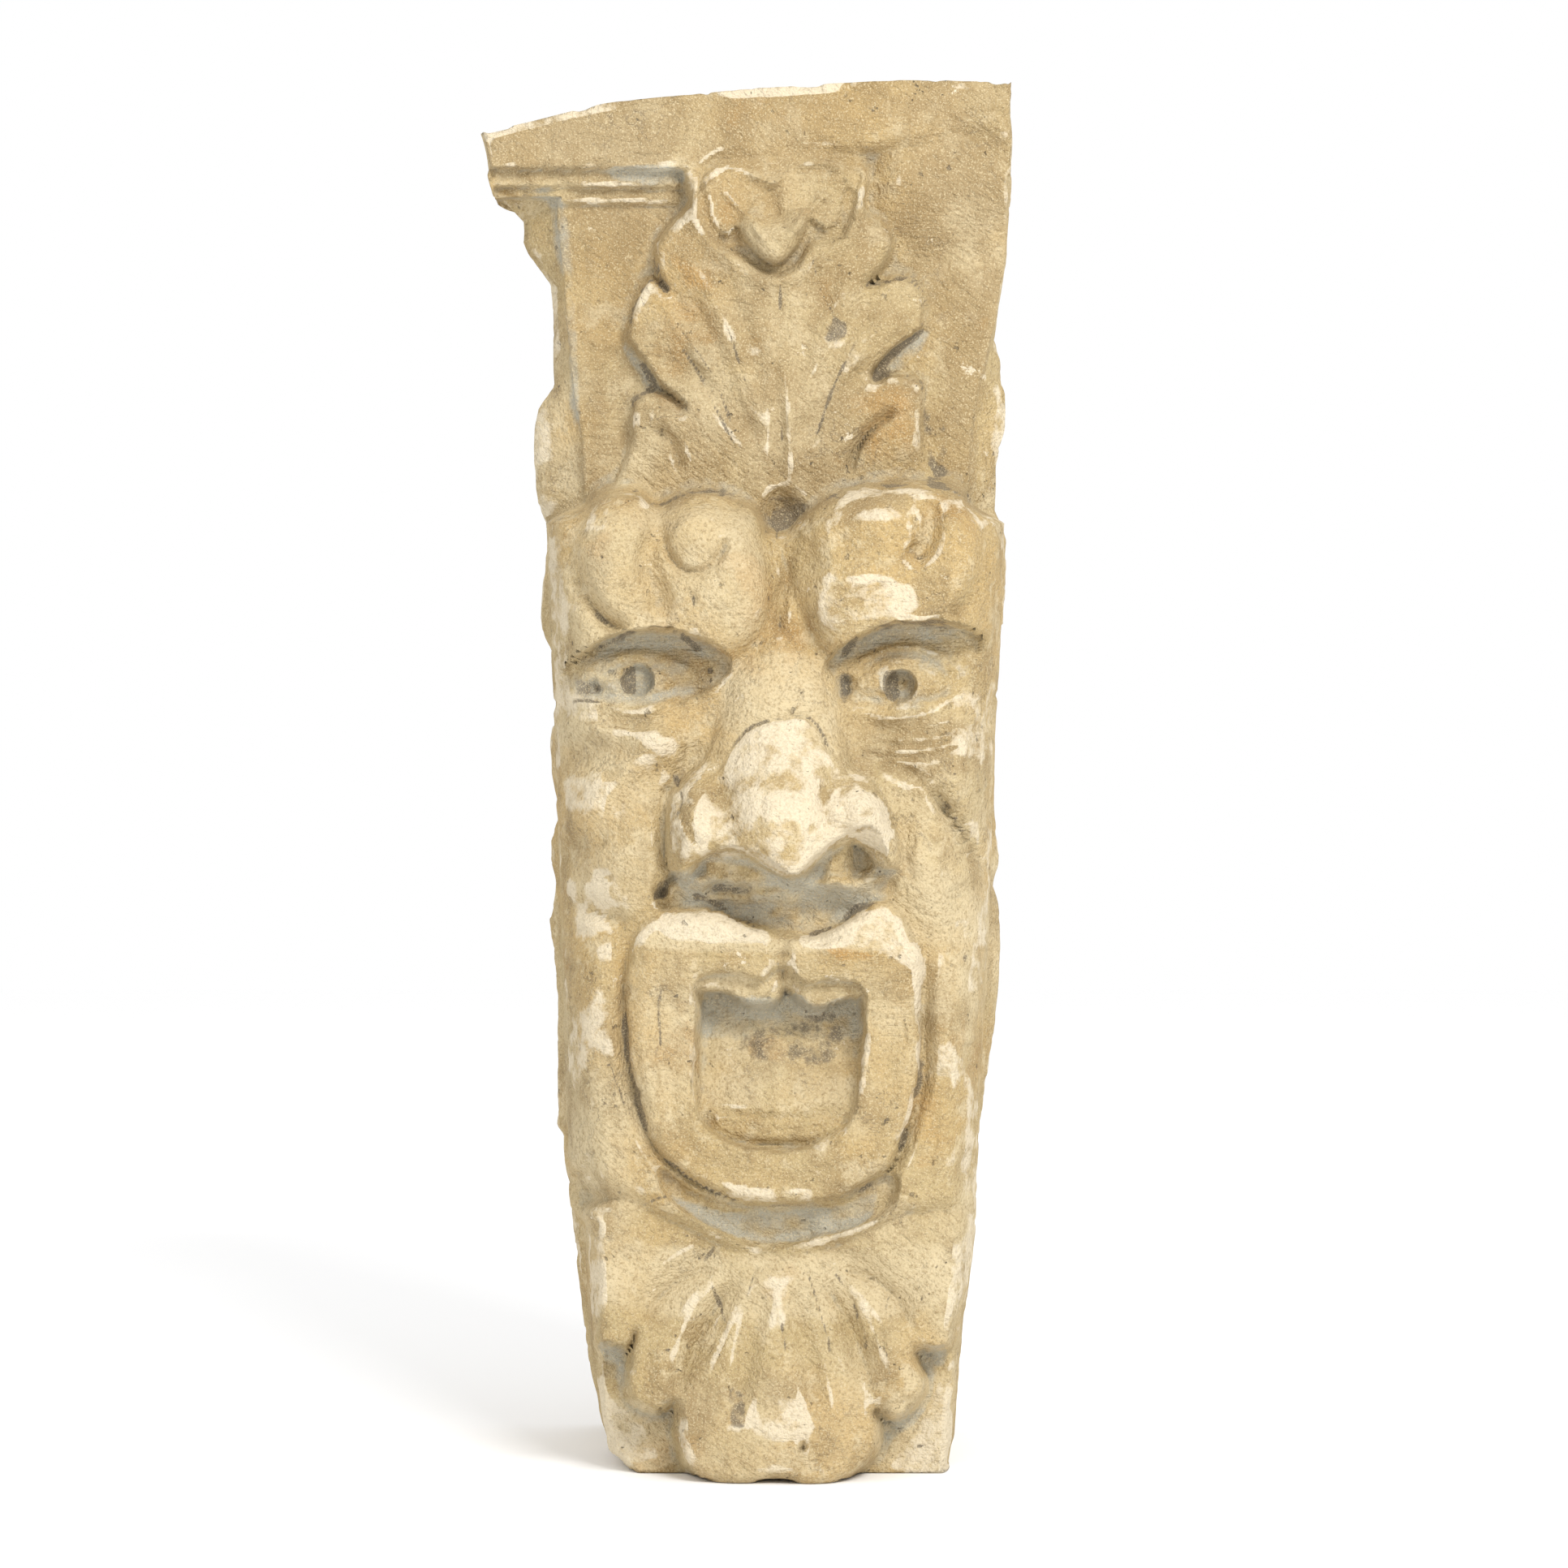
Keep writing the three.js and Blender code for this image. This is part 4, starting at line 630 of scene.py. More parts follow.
# %% Outline tables: height, then half width
LEFT_FLANK = [[0, 84], [2, 88], [7, 93], [13, 99], [30, 104], [55, 110], [85, 114], [115, 118],
              [145, 121], [158, 121], [175, 125], [190, 126], [196, 129], [265, 130], [285, 131],
              [315, 134], [325, 132], [336, 130], [350, 134], [360, 134], [373, 129], [385, 130],
              [400, 133], [415, 134], [427, 133], [434, 125], [441, 124], [456, 126], [470, 133],
              [480, 138], [490, 140], [505, 139], [525, 137], [541, 135], [552, 139], [565, 141],
              [580, 142], [600, 142], [612, 140], [620, 135], [625, 131], [668, 131.5], [684, 132],
              [694, 140], [702, 146], [710, 149], [725, 149], [733, 155], [742, 162], [748, 164.5],
              [762, 166], [772, 168], [800, 171]]
RIGHT_FLANK = [[0, 99], [15, 103], [50, 106], [90, 110], [105, 112], [135, 115.5], [168, 115],
               [178, 117], [195, 119], [215, 122], [235, 125], [250, 128], [290, 131], [315, 131],
               [325, 130], [335, 127], [352, 131], [365, 129], [375, 128], [440, 128], [455, 127],
               [470, 126], [480, 127], [486, 133], [515, 135.5], [535, 135], [545, 132], [553, 128],
               [579, 128], [582, 129], [600, 133], [620, 133], [640, 131], [652, 127], [662, 128],
               [675, 130], [700, 134], [720, 135], [745, 133], [765, 135.5], [780, 133], [800, 130]]
LEFT_ARRIS = [[0, 84], [13, 98], [30, 103], [70, 109], [140, 112], [150, 120], [545, 134], [556, 112],
              [590, 113], [605, 116], [620, 119], [650, 122], [720, 128], [740, 128], [746, 163],
              [800, 171]]
RIGHT_ARRIS = [[0, 99], [60, 105], [85, 107], [105, 111], [140, 115], [545, 132], [556, 110], [585, 111],
               [600, 113], [615, 116], [635, 120], [662, 127], [700, 133.5], [720, 135], [800, 135]]
TURN = [[0, 5], [60, 6], [75, 9], [146, 12], [160, 22], [300, 28], [430, 26], [470, 24], [545, 22],
        [556, 4], [800, 4]]
CORNER_BACK = [[0, 4], [70, 4], [146, 8], [165, 16], [545, 16], [556, 3], [742, 3], [747, -15],
               [800, -15]]
TOP_EDGE = [[-171, 30], [-150, 25.5], [-135, 22], [-118, 17.5], [-92, 12.5], [-50, 8], [-20, 5], [20, 3],
            [50, 1], [95, 0], [130, 1.5]]

# %% [markdown]
# ## From cuts to a closed stone
# The mesh starts as one flat grid from bmesh. Its columns will run right round the block, its rows up
# it, closest together where the carving is finest. First the place of every vertex is worked out as an
# array, so that the relief is cut once for all of them. The columns of the middle stand upright; the
# outer ones lean out to follow the arris.

# %% How finely the surface is divided
FRONT_STEPS = 146
OUTER_STEPS = 26
INNER_HALF = 70
CORNER_STEPS = 8
SIDE_STEPS = 16
TAIL_STEPS = 7
BACK_HALF_STEPS = 8
ROW_PITCH = [[0, 2.1], [130, 1.9], [135, 1.75], [560, 1.75], [570, 2.1], [740, 2.1], [800, 2.4]]
ROW_STRETCH = 1.0


def row_levels():
    levels = [0.0]
    while levels[-1] < HEIGHT - 1:
        levels.append(levels[-1] + ROW_STRETCH * float(read_off(ROW_PITCH, levels[-1])))
    return np.array(levels) * (HEIGHT / levels[-1])


def laid_height(x, level):
    """Laid-out height of a point, so that the finished surface meets the foot and the top bed."""
    proud = carve(x, np.zeros(x.shape))
    foot = SIGHT[1] - SIGHT[1] / (1 - proud / SIGHT_DISTANCE)
    down = read_off(TOP_EDGE, x)
    foot = foot * ramp((FOOT_ZONE - level) / FOOT_ZONE)
    return level + foot - down * ramp((level - BED_ZONE) / (HEIGHT - BED_ZONE))


def stand(x, z, proud):
    """Where a laid-out point really is once it stands proud of the front."""
    near_by = 1 - proud / SIGHT_DISTANCE
    return np.stack([SIGHT[0] + (x - SIGHT[0]) * near_by, -proud, SIGHT[1] + (z - SIGHT[1]) * near_by], -1)


# %% Place every vertex
levels = row_levels()
rows = len(levels)


def side_sizes(sign):
    flank = read_off(LEFT_FLANK if sign < 0 else RIGHT_FLANK, levels)[:, None]
    arris = read_off(LEFT_ARRIS if sign < 0 else RIGHT_ARRIS, levels)[:, None]
    return flank, arris, read_off(TURN, levels)[:, None], read_off(CORNER_BACK, levels)[:, None]


def tail_half(z):
    return TAIL_HALF_FOOT + TAPER * z


def lay_side(sign):
    """From the end of the front strip round the corner and back to the wall plane, then the tail."""
    flank, arris, turn, back = side_sizes(sign)
    start = arris - turn
    level = levels[:, None]
    begin = sign * start
    begin_proud = carve(begin, laid_height(begin, level))
    angle = (np.arange(1, CORNER_STEPS + 1) / CORNER_STEPS * math.pi / 2)[None, :]
    x = sign * (start + turn * np.sin(angle))
    z = laid_height(x, level + 0 * x)
    proud = carve(x, z)
    proud[:, -1:] = begin_proud
    corner = stand(x, z, -back + (proud + back) * np.cos(angle))
    up = corner[:, -1:, 2]
    tail = tail_half(up)
    part = np.sin(np.arange(1, SIDE_STEPS + 1) / SIDE_STEPS * math.pi / 2)[None, :]
    y = back + (WALL_PLANE - back) * part
    out = arris + (flank - arris) * ramp((y - back) / FLANK_ZONE)
    fall = np.sqrt(np.clip(1 - part ** 4, 0, None))
    side = np.stack([sign * (tail + (out - tail) * fall), y, up + 0 * y], -1)
    deep = (np.arange(1, TAIL_STEPS + 1) / TAIL_STEPS)[None, :]
    y = WALL_PLANE + (DEPTH_BEHIND - WALL_PLANE) * deep + 0 * up
    rear = np.stack([sign * tail + 0 * y, y, up + 0 * y], -1)
    return start, np.concatenate([corner, side, rear], axis=1), x, z, proud


left_start, left_side, left_x, left_z, left_proud = lay_side(-1)
right_start, right_side, right_x, right_z, right_proud = lay_side(1)
across = (np.arange(FRONT_STEPS + 1) / FRONT_STEPS)[None, :]
outwards = (np.arange(OUTER_STEPS + 1) / OUTER_STEPS)[None, :]
upright = np.linspace(-INNER_HALF, INNER_HALF, FRONT_STEPS - 2 * OUTER_STEPS + 1)[1:-1]
outer_left = -INNER_HALF - (left_start - INNER_HALF) * outwards[:, ::-1]
outer_right = INNER_HALF + (right_start - INNER_HALF) * outwards
front_x = np.concatenate([outer_left, upright + 0 * left_start, outer_right], axis=1)
front_z = laid_height(front_x, levels[:, None] + 0 * front_x)
front_proud = carve(front_x, front_z)
front = stand(front_x, front_z, front_proud)


def lay_back(rear):
    """Half of the back face, from the tail's edge to the middle."""
    edge_point = rear[:, -1:, :]
    part = (np.arange(1, BACK_HALF_STEPS + 1) / BACK_HALF_STEPS)[None, :, None]
    middle = edge_point * [0, 1, 0] + [0, 0, 1] * (0.5 * (left_side[:, -1:, :] + right_side[:, -1:, :]))
    return edge_point + (middle - edge_point) * part


loop = np.concatenate([lay_back(left_side)[:, ::-1], left_side[:, ::-1], front, right_side,
                       lay_back(right_side)], axis=1)
loop[0, :, 2] = 0
columns = loop.shape[1]
print("rows", rows, "columns", columns)

# %% [markdown]
# The top bed is closed by drawing the last row in towards a line across the middle of the block, ring
# by ring. The bed keeps the slope that its front edge shows, so it was dressed or broken on a slope.

# %% Rows of the top bed
BED_RINGS = 14
BED_MIDDLE = 70
BED_LINE = 0.72      # length of the middle line, as a share of the tail's width
NEARLY = 0.998       # how far the last ring goes; its two sides almost touch
side_columns = TAIL_STEPS + SIDE_STEPS + CORNER_STEPS
half_back = np.linspace(0.5, 0, BACK_HALF_STEPS + 1)[:-1]
fraction = np.concatenate([half_back, np.zeros(side_columns), across[0], np.ones(side_columns),
                           1 - half_back[::-1]])
bed_height = np.interp(fraction, across[0], front[-1, :, 2])
chord = np.interp(fraction, [0, 1], front[-1, [0, -1], 2])
is_back = np.zeros(columns, bool)
is_back[:BACK_HALF_STEPS] = True
is_back[-BACK_HALF_STEPS:] = True
lean = ramp((levels - BED_ZONE) / (HEIGHT - BED_ZONE))[:, None]
loop[:, :, 2] += np.where(is_back, (bed_height - chord)[None, :] * lean, 0)
rim = loop[-1].copy()
line_x = BED_LINE * tail_half(HEIGHT) * (2 * fraction - 1)
rings = []
for k in range(1, BED_RINGS + 1):
    part = min(k / BED_RINGS, NEARLY)
    ring = rim.copy()
    ring[:, 0] += (line_x - rim[:, 0]) * part
    ring[:, 1] += (BED_MIDDLE - rim[:, 1]) * part
    ring[:, 2] += (bed_height - rim[:, 2]) * part
    rings.append(ring)
skin = np.concatenate([loop, np.array(rings)], axis=0)
print("grid", skin.shape[0], "by", skin.shape[1], "vertices")

# %% Patches drawn on the carving, seen from the front
plain_columns = BACK_HALF_STEPS + TAIL_STEPS + SIDE_STEPS
CARVED = slice(plain_columns, columns - plain_columns)
seen_x = np.concatenate([left_x[:, ::-1], front_x, right_x], axis=1)
seen_z = np.concatenate([left_z[:, ::-1], front_z, right_z], axis=1)


def whole_stone(seen):
    """A field on the carving spread to the whole skin, nought elsewhere."""
    whole = np.zeros(skin.shape[:2])
    whole[:rows, CARVED] = seen
    return whole


def gather(patches):
    """One field from a list of patches: outline, strength, how softly it begins."""
    field = np.zeros(seen_x.shape)
    for outline, strength, soft in patches:
        field = np.maximum(field, lift(np.zeros(seen_x.shape), seen_x, seen_z, outline, strength, soft))
    return whole_stone(field)


def trace(paths, width):
    """One field from thin lines: full on the line, nought at width."""
    field = np.zeros(seen_x.shape)
    for path in paths:
        field = np.maximum(field, -groove(np.zeros(seen_x.shape), seen_x, seen_z, path, width, 1.0, 0.12))
    return whole_stone(field)


# %% [markdown]
# ## Wear
# Old limestone is never smooth: edges are knocked, faces are slightly uneven, and the stone is pitted.
# Comparing each point with the mean of its neighbours tells edges from hollows. Edges lose a little
# stone where a slow random field says so; the same measure later places dirt and painted shade.

# %% Neighbourhood means and a repeatable random field
CELLS = 32


def softened(field, times):
    """Each point mixed with its neighbours, over and over."""
    out = field.copy()
    for _ in range(times):
        out[1:-1] = (out[:-2] + 2 * out[1:-1] + out[2:]) / 4
        out[:, 1:-1] = (out[:, :-2] + 2 * out[:, 1:-1] + out[:, 2:]) / 4
    return out


def random_field(points, size, seed):
    """Smooth noise between -1 and 1 that is read in space, so it runs round corners."""
    cells = np.random.RandomState(seed).uniform(-1, 1, (CELLS,) * 3)
    at = points / size
    base = np.floor(at).astype(int)
    f = at - base
    f = f * f * (3 - 2 * f)
    total = np.zeros(points.shape[:-1])
    for corner in np.ndindex(2, 2, 2):
        index = [(base[..., c] + corner[c]) % CELLS for c in range(3)]
        weight = np.prod([f[..., c] if corner[c] else 1 - f[..., c] for c in range(3)], axis=0)
        total += weight * cells[index[0], index[1], index[2]]
    return total


def outward(points):
    """The direction that the surface faces at every point of the grid."""
    along_row = np.gradient(points, axis=1)
    up_column = np.gradient(points, axis=0)
    normal = np.cross(along_row, up_column)
    return normal / (np.linalg.norm(normal, axis=-1, keepdims=True) + 1e-9)


facing = softened(outward(skin), 2)
wide = 26
fine = 5
bulge_wide = np.sum((skin - softened(skin, wide)) * facing, axis=-1)
bulge_fine = np.sum((skin - softened(skin, fine)) * facing, axis=-1)
print("edges stand proud by up to", round(float(bulge_fine.max()), 2), "mm")

# %% Take the wear off
CHIP_DEPTH = 2.0
UNEVEN = 0.9
ROUGH_DEPTH = 2.2
CRACK_DEPTH = 1.5
CRACK_WIDTH = 3.2
PIT_DEPTH = 1.5
CLEARANCE = 0.05     # kept between the worn surface and the box of the solid
ROUGH = [
    [[[-66, 344], [-40, 350], [0, 340], [30, 350], [70, 344], [62, 322], [24, 308], [-16, 312],
      [-62, 322]], 1.0, 6],
    [[[-42, 268], [-44, 206], [-34, 195], [32, 196], [44, 208], [44, 268]], 0.6, 6],
    [[[-60, 156], [-24, 148], [30, 150], [58, 160], [50, 140], [0, 128], [-40, 138]], 0.9, 4],
    [[[-130, 330], [-100, 340], [-70, 330], [-80, 300], [-126, 300]], 0.5, 14],
    [[[-120, 70], [-60, 66], [-56, 0], [-120, 0]], 0.6, 10],
    [[[120, 70], [60, 66], [56, 0], [120, 0]], 0.6, 10],
    [[[50, 440], [118, 440], [122, 400], [60, 400]], 0.45, 12],
    [[[-30, 600], [30, 600], [24, 556], [-20, 556]], 0.5, 10],
    [[[-100, 780], [-60, 780], [-60, 748], [-118, 748]], 0.4, 10],
]
CRACKS = [
    LEAF_LEFT[3:18],
    LEAF_RIGHT[1:16],
    BROW_LEFT[13:22],
    BROW_RIGHT[0:6],
    RING[2:14],
    [[-106, 404], [-96, 400], [-88, 403]],
    [[-52, 330], [-38, 326], [-22, 318], [-8, 311]],
    [[14, 306], [30, 312], [48, 324], [62, 326]],
    [[-40, 690], [-30, 660], [-14, 610]],
    [[-60, 650], [-40, 620], [-22, 582]],
    [[50, 660], [34, 626], [20, 590]],
    [[2, 690], [1, 640], [2, 580]],
    [[-48, 124], [-34, 96], [-30, 70]],
    [[4, 120], [2, 90], [6, 62]],
    [[16, 118], [26, 90], [32, 60]],
    [[66, 104], [60, 78], [64, 60]],
    [[-46, 394], [-34, 405], [-24, 421], [-12, 429], [4, 433], [20, 432], [30, 416], [38, 404]],
    [[38, 404], [46, 405], [54, 399]],
    [[-60, 402], [-57, 388], [-60, 372], [-58, 352]],
    [[88, 391], [99, 378], [111, 362], [128, 340]],
    [[-42, 468], [-60, 480], [-84, 480], [-108, 470]],
    [[34, 464], [50, 479], [74, 485], [104, 484]],
    [[-122, 440], [-104, 441], [-92, 437]],
    [[-112, 508], [-104, 492], [-92, 482]],
    [[0, 546], [-1, 520], [3, 498], [0, 478]],
    [[-52, 506], [-49, 500], [-50, 495]],
    [[-64, 664], [-42, 636], [-24, 598]],
    [[20, 700], [26, 676], [40, 650]],
    [[108, 300], [112, 276], [108, 250]],
    [[-104, 238], [-92, 224], [-86, 206]],
    [[-64, 300], [-68, 264], [-66, 236]],
    [[-34, 130], [-52, 104], [-62, 82]],
    [[30, 118], [42, 96], [48, 70]],
    [[-12, 118], [-22, 84], [-26, 62]],
    [[60, 130], [72, 112], [86, 92]],
    [[-96, 150], [-76, 152], [-60, 158]],
    [[78, 146], [62, 152], [54, 163]],
]
chips = random_field(skin, 11, 3) + 0.6 * random_field(skin, 5, 4)
edge_loss = CHIP_DEPTH * ramp(bulge_fine / 0.8) * ramp((chips - 0.1) / 0.8)
uneven = UNEVEN * random_field(skin, 34, 5) + 0.5 * random_field(skin, 12, 6) + 0.3 * random_field(skin, 5, 7)
pitted = ramp((random_field(skin, 40, 9) + 0.2) / 0.6)
pits = PIT_DEPTH * ramp((random_field(skin, 4.5, 8) - 0.62) / 0.25) * pitted
rough = ROUGH_DEPTH * gather(ROUGH) * (random_field(skin, 8, 21) - 0.4)
cracks = trace(CRACKS, CRACK_WIDTH) * ramp((random_field(skin, 16, 22) + 0.6) / 0.7)
move = uneven - UNEVEN - edge_loss - pits + rough - CRACK_DEPTH * cracks
move[0] = 0
skin = skin + facing * move[..., None]
low, high = np.array(cad_box[0]) / MM, np.array(cad_box[1]) / MM
skin = np.clip(skin, low + CLEARANCE, high - CLEARANCE)
skin[0, :, 2] = low[2]
print("stone moved between", round(float(move.min()), 2), "and", round(float(move.max()), 2), "mm")

# %% [markdown]
# ## Where the colours lie
# The stone is buff. Over it lie pale plaster from an old repair and from knocks, blue-grey dirt, rusty
# stains and a few black specks; some parts are paler and some are duller. Painted shade is laid with the
# same tones: grey in the sockets, hollows and undersides, near-black in the pupils, nostrils and deep
# cuts, and duller khaki on the upper part and the sides of the nose; the paler tone is partly painted
# light on low places. These follow the carving, so they are kept as numbers on the vertices: the
# outlines below say where a tone gathers, and the hollow and facing-down measures add painted shade
# to the cuts and undersides.

# %% Tone patches on the carving, seen from the front: outline, strength, softness
PLASTER = [
    [[[-42, 394], [-34, 404], [-24, 421], [-12, 429], [4, 433], [20, 432], [30, 416], [38, 404], [60, 398],
      [68, 372], [62, 350], [40, 361], [22, 341], [8, 334], [-10, 343], [-45, 352], [-50, 375]], 0.68, 3],
    [[[-58, 440], [-40, 424], [-48, 398], [-66, 380], [-92, 360], [-108, 372], [-96, 400],
      [-78, 424]], 0.55, 16],
    [[[-112, 352], [-84, 352], [-72, 330], [-84, 312], [-118, 300], [-126, 330]], 0.5, 16],
    [[[-112, 300], [-92, 304], [-90, 272], [-108, 266]], 0.55, 10],
    [[[20, 514], [42, 519], [78, 512], [84, 492], [48, 481], [24, 478]], 0.72, 7],
    [[[-70, 318], [-40, 322], [-14, 314], [6, 306], [-10, 298], [-40, 298], [-66, 302]], 0.66, 6],
    [[[4, 306], [30, 316], [60, 326], [78, 310], [86, 280], [74, 284], [50, 294], [20, 298]], 0.66, 6],
    [[[76, 300], [88, 300], [86, 230], [79, 236]], 0.6, 4],
    [[[84, 392], [100, 372], [122, 342], [104, 300], [88, 320], [78, 360]], 0.45, 14],
    [[[-62, 168], [-30, 158], [20, 158], [60, 172], [40, 178], [-40, 176]], 0.45, 6],
    [[[-18, 42], [18, 42], [20, 14], [-14, 14]], 0.6, 6],
    [[[-22, 132], [14, 132], [10, 70], [-8, 70]], 0.48, 9],
    [[[-114, 60], [-96, 44], [-78, 30], [-66, 4], [-116, -6]], 0.66, 6],
    [[[94, 58], [112, 58], [112, -4], [62, -4], [76, 24]], 0.58, 6],
    [[[24, 660], [36, 664], [44, 652], [34, 640], [24, 646]], 0.6, 4],
    [[[-22, 650], [-8, 650], [-8, 638], [-20, 636]], 0.6, 6],
    [[[-30, 800], [34, 812], [34, 792], [-30, 788]], 0.8, 4],
    [[[-128, 560], [-96, 560], [-70, 600], [-84, 660], [-124, 700]], 0.25, 20],
]
# dirt and painted shade: grey-blue dirt, with painted shade in the sockets, under the nose, in the mouth, in
# the gap under the chin, in the left cheek's hollows, in the pockets between lobes and on the left flank
DIRT_AND_SHADE_PATCHES = [
    [SOCKET_LEFT, 0.62, 5],
    [SOCKET_RIGHT, 0.42, 5],
    [[[-66, 344], [-40, 350], [0, 342], [30, 352], [70, 344], [62, 322], [24, 308], [-16, 312],
      [-62, 322]], 0.46, 9],
    [[[-48, 270], [-50, 248], [-20, 242], [20, 240], [50, 248], [48, 270], [0, 276]], 0.6, 7],
    [[[-64, 158], [-24, 148], [30, 150], [58, 160], [50, 140], [0, 128], [-40, 138]], 0.8, 3],
    [[[-110, 72], [-92, 70], [-78, 44], [-60, 40], [-64, 32], [-92, 42]], 0.45, 6],
    [[[102, 70], [80, 68], [84, 40], [66, 30], [60, 12], [84, 22]], 0.45, 8],
    [[[-94, 752], [-56, 750], [-56, 738], [-94, 740]], 0.7, 3],
    [[[-120, 380], [-104, 376], [-104, 352], [-124, 348]], 0.4, 8],
    # painted shade: the left flank, turned away from the light
    [[[-118, 720], [-150, 720], [-150, 560], [-114, 560]], 0.68, 5],
    [[[-50, 520], [-30, 526], [-30, 540], [-36, 524], [-64, 524], [-66, 540], [-68, 526]], 0.5, 2],
    [[[62, 634], [84, 656], [90, 650], [76, 634]], 0.6, 4],
    [[[-88, 648], [-62, 616], [-52, 606], [-66, 612], [-88, 636]], 0.6, 3],
]
OCHRE = [
    [[[-60, 744], [60, 744], [70, 640], [-70, 640]], 0.22, 16],
    [[[-18, 252], [8, 252], [8, 232], [-18, 232]], 0.7, 6],
    [[[26, 302], [50, 300], [60, 292], [40, 288], [28, 294]], 0.9, 5],
    [[[-68, 708], [-40, 696], [-30, 676], [-52, 672], [-66, 688]], 0.6, 12],
    [[[-38, 738], [-12, 738], [-12, 716], [-36, 712]], 0.4, 8],
    [[[10, 738], [38, 738], [36, 716], [12, 716]], 0.4, 8],
    [[[-20, 120], [22, 122], [12, 80], [-10, 80]], 0.35, 14],
    [[[-74, 420], [-40, 418], [-60, 380], [-110, 350], [-90, 392]], 0.3, 16],
    [[[60, 640], [88, 620], [84, 570], [20, 570], [30, 620]], 0.3, 18],
    [[[76, 240], [92, 240], [100, 180], [80, 160], [66, 172]], 0.3, 14],
    [[[-30, 48], [-16, 44], [-14, 20], [-32, 22]], 0.45, 6],
]
# black specks and painted shade: the dark halves of the drilled pupils, the nostrils, the sunk eye corners
# and the foot of the leaf are painted shade; the rest are specks and stains
SOOT_AND_SHADE_PATCHES = [
    [[[-91, 462], [-81, 463], [-79, 453], [-81, 444], [-91, 445]], 0.62, 4],
    [[[60, 460], [70, 461], [72, 451], [70, 441], [60, 442]], 0.68, 4],
    [[[-34, 268], [-20, 258], [-36, 240], [-10, 228], [30, 226], [44, 240], [40, 262], [20, 266],
      [0, 262]], 0.49, 10],
    [[[-40, 338], [-16, 338], [-12, 330], [-22, 326], [-40, 330]], 0.5, 5],
    [[[-70, 338], [-62, 340], [-62, 328], [-72, 326]], 0.6, 3],
    [[[-122, 462], [-100, 456], [-98, 444], [-120, 440]], 0.46, 7],
    [[[34, 462], [44, 460], [44, 440], [34, 440]], 0.46, 5],
    [[[-10, 562], [18, 562], [14, 540], [-4, 540]], 0.5, 8],
    [[[24, 662], [44, 664], [42, 648], [26, 644]], 0.5, 7],
    [[[-114, 768], [-88, 772], [-84, 752], [-112, 752]], 0.42, 8],
    [[[-30, 48], [-18, 46], [-16, 22], [-30, 22]], 0.48, 5],
    [[[84, 610], [100, 606], [98, 560], [84, 566]], 0.42, 6],
]
# paler tone, partly clean pale stone and partly painted light: places the lamp leaves dark, under the nose,
# on the lips, in the mouth, on the beard top and the foot, are lightened
PALE_AND_PAINTED_LIGHT_PATCHES = [
    [[[-40, 342], [50, 342], [50, 322], [-40, 322]], 0.5, 6],
    [[[-38, 232], [38, 232], [38, 204], [-38, 204]], 0.5, 8],
    [[[-118, 550], [-10, 556], [-6, 480], [-40, 466], [-118, 478]], 0.55, 12],
    [[[-26, 470], [30, 470], [36, 420], [-36, 420]], 0.75, 10],
    [[[-112, 360], [-70, 360], [-66, 330], [-90, 308], [-124, 306]], 0.6, 10],
    [[[76, 360], [124, 330], [122, 300], [80, 300]], 0.75, 10],
    [[[-66, 318], [0, 308], [70, 318], [74, 296], [-74, 296]], 0.75, 5],
    [[[-40, 262], [40, 262], [40, 230], [-40, 230]], 0.4, 8],
    [[[-96, 132], [-30, 130], [30, 130], [100, 132], [90, 84], [-90, 84]], 0.8, 12],
    [[[-112, 40], [-70, 34], [-60, 0], [-112, 0]], 1.1, 5],
    [[[60, 40], [110, 60], [110, 0], [58, 0]], 0.7, 6],
]
# duller khaki tone, partly painted shade: the upper part of the block darker as the light falls, the dishes
# of the leaf tip and the sides of the nose shaded
DULL_AND_SHADE_PATCHES = [
    [[[-40, 734], [-16, 738], [-8, 722], [-22, 722], [-30, 708]], 0.6, 4],
    [[[-26, 724], [-12, 700], [0, 693], [12, 700], [18, 722], [0, 712]], 0.4, 5],
    [[[8, 738], [36, 740], [38, 722], [24, 718], [10, 726]], 0.55, 5],
    [[[-172, 810], [-60, 820], [-60, 744], [-172, 740]], 1.0, 12],
    [[[-60, 820], [140, 830], [140, 744], [-60, 746]], 0.72, 12],
    [[[-130, 744], [-60, 744], [-90, 640], [-88, 560], [-120, 560]], 0.72, 12],
    [[[60, 750], [136, 750], [136, 560], [86, 560], [88, 640]], 0.82, 12],
    [[[-90, 740], [90, 740], [90, 556], [-90, 556]], 0.56, 16],
    [[[40, 436], [120, 436], [124, 396], [60, 396]], 0.62, 12],
    [[[-60, 560], [0, 560], [0, 500], [-12, 470], [-20, 520]], 0.3, 14],
    [[[30, 446], [48, 446], [60, 402], [44, 400]], 0.55, 6],
    [[[-62, 400], [-48, 400], [-46, 350], [-66, 345]], 0.5, 6],
    [[[84, 300], [100, 300], [100, 160], [84, 170]], 0.4, 8],
    [[[-102, 290], [-88, 290], [-86, 180], [-100, 180]], 0.5, 8],
]
plaster = gather(PLASTER)
dirt_and_shade = gather(DIRT_AND_SHADE_PATCHES)
ochre = gather(OCHRE)
soot_and_shade_tone = gather(SOOT_AND_SHADE_PATCHES)

# %% Dirt and painted shade in the hollows and undersides, bare stone on the edges
mottle = random_field(skin, 26, 11) + 0.5 * random_field(skin, 9, 12)
hollow = ramp((-bulge_wide - 0.8) / 6.0)
cut = ramp((-bulge_fine - 0.15) / 0.9)
under = ramp((-facing[..., 2] - 0.25) / 0.5)
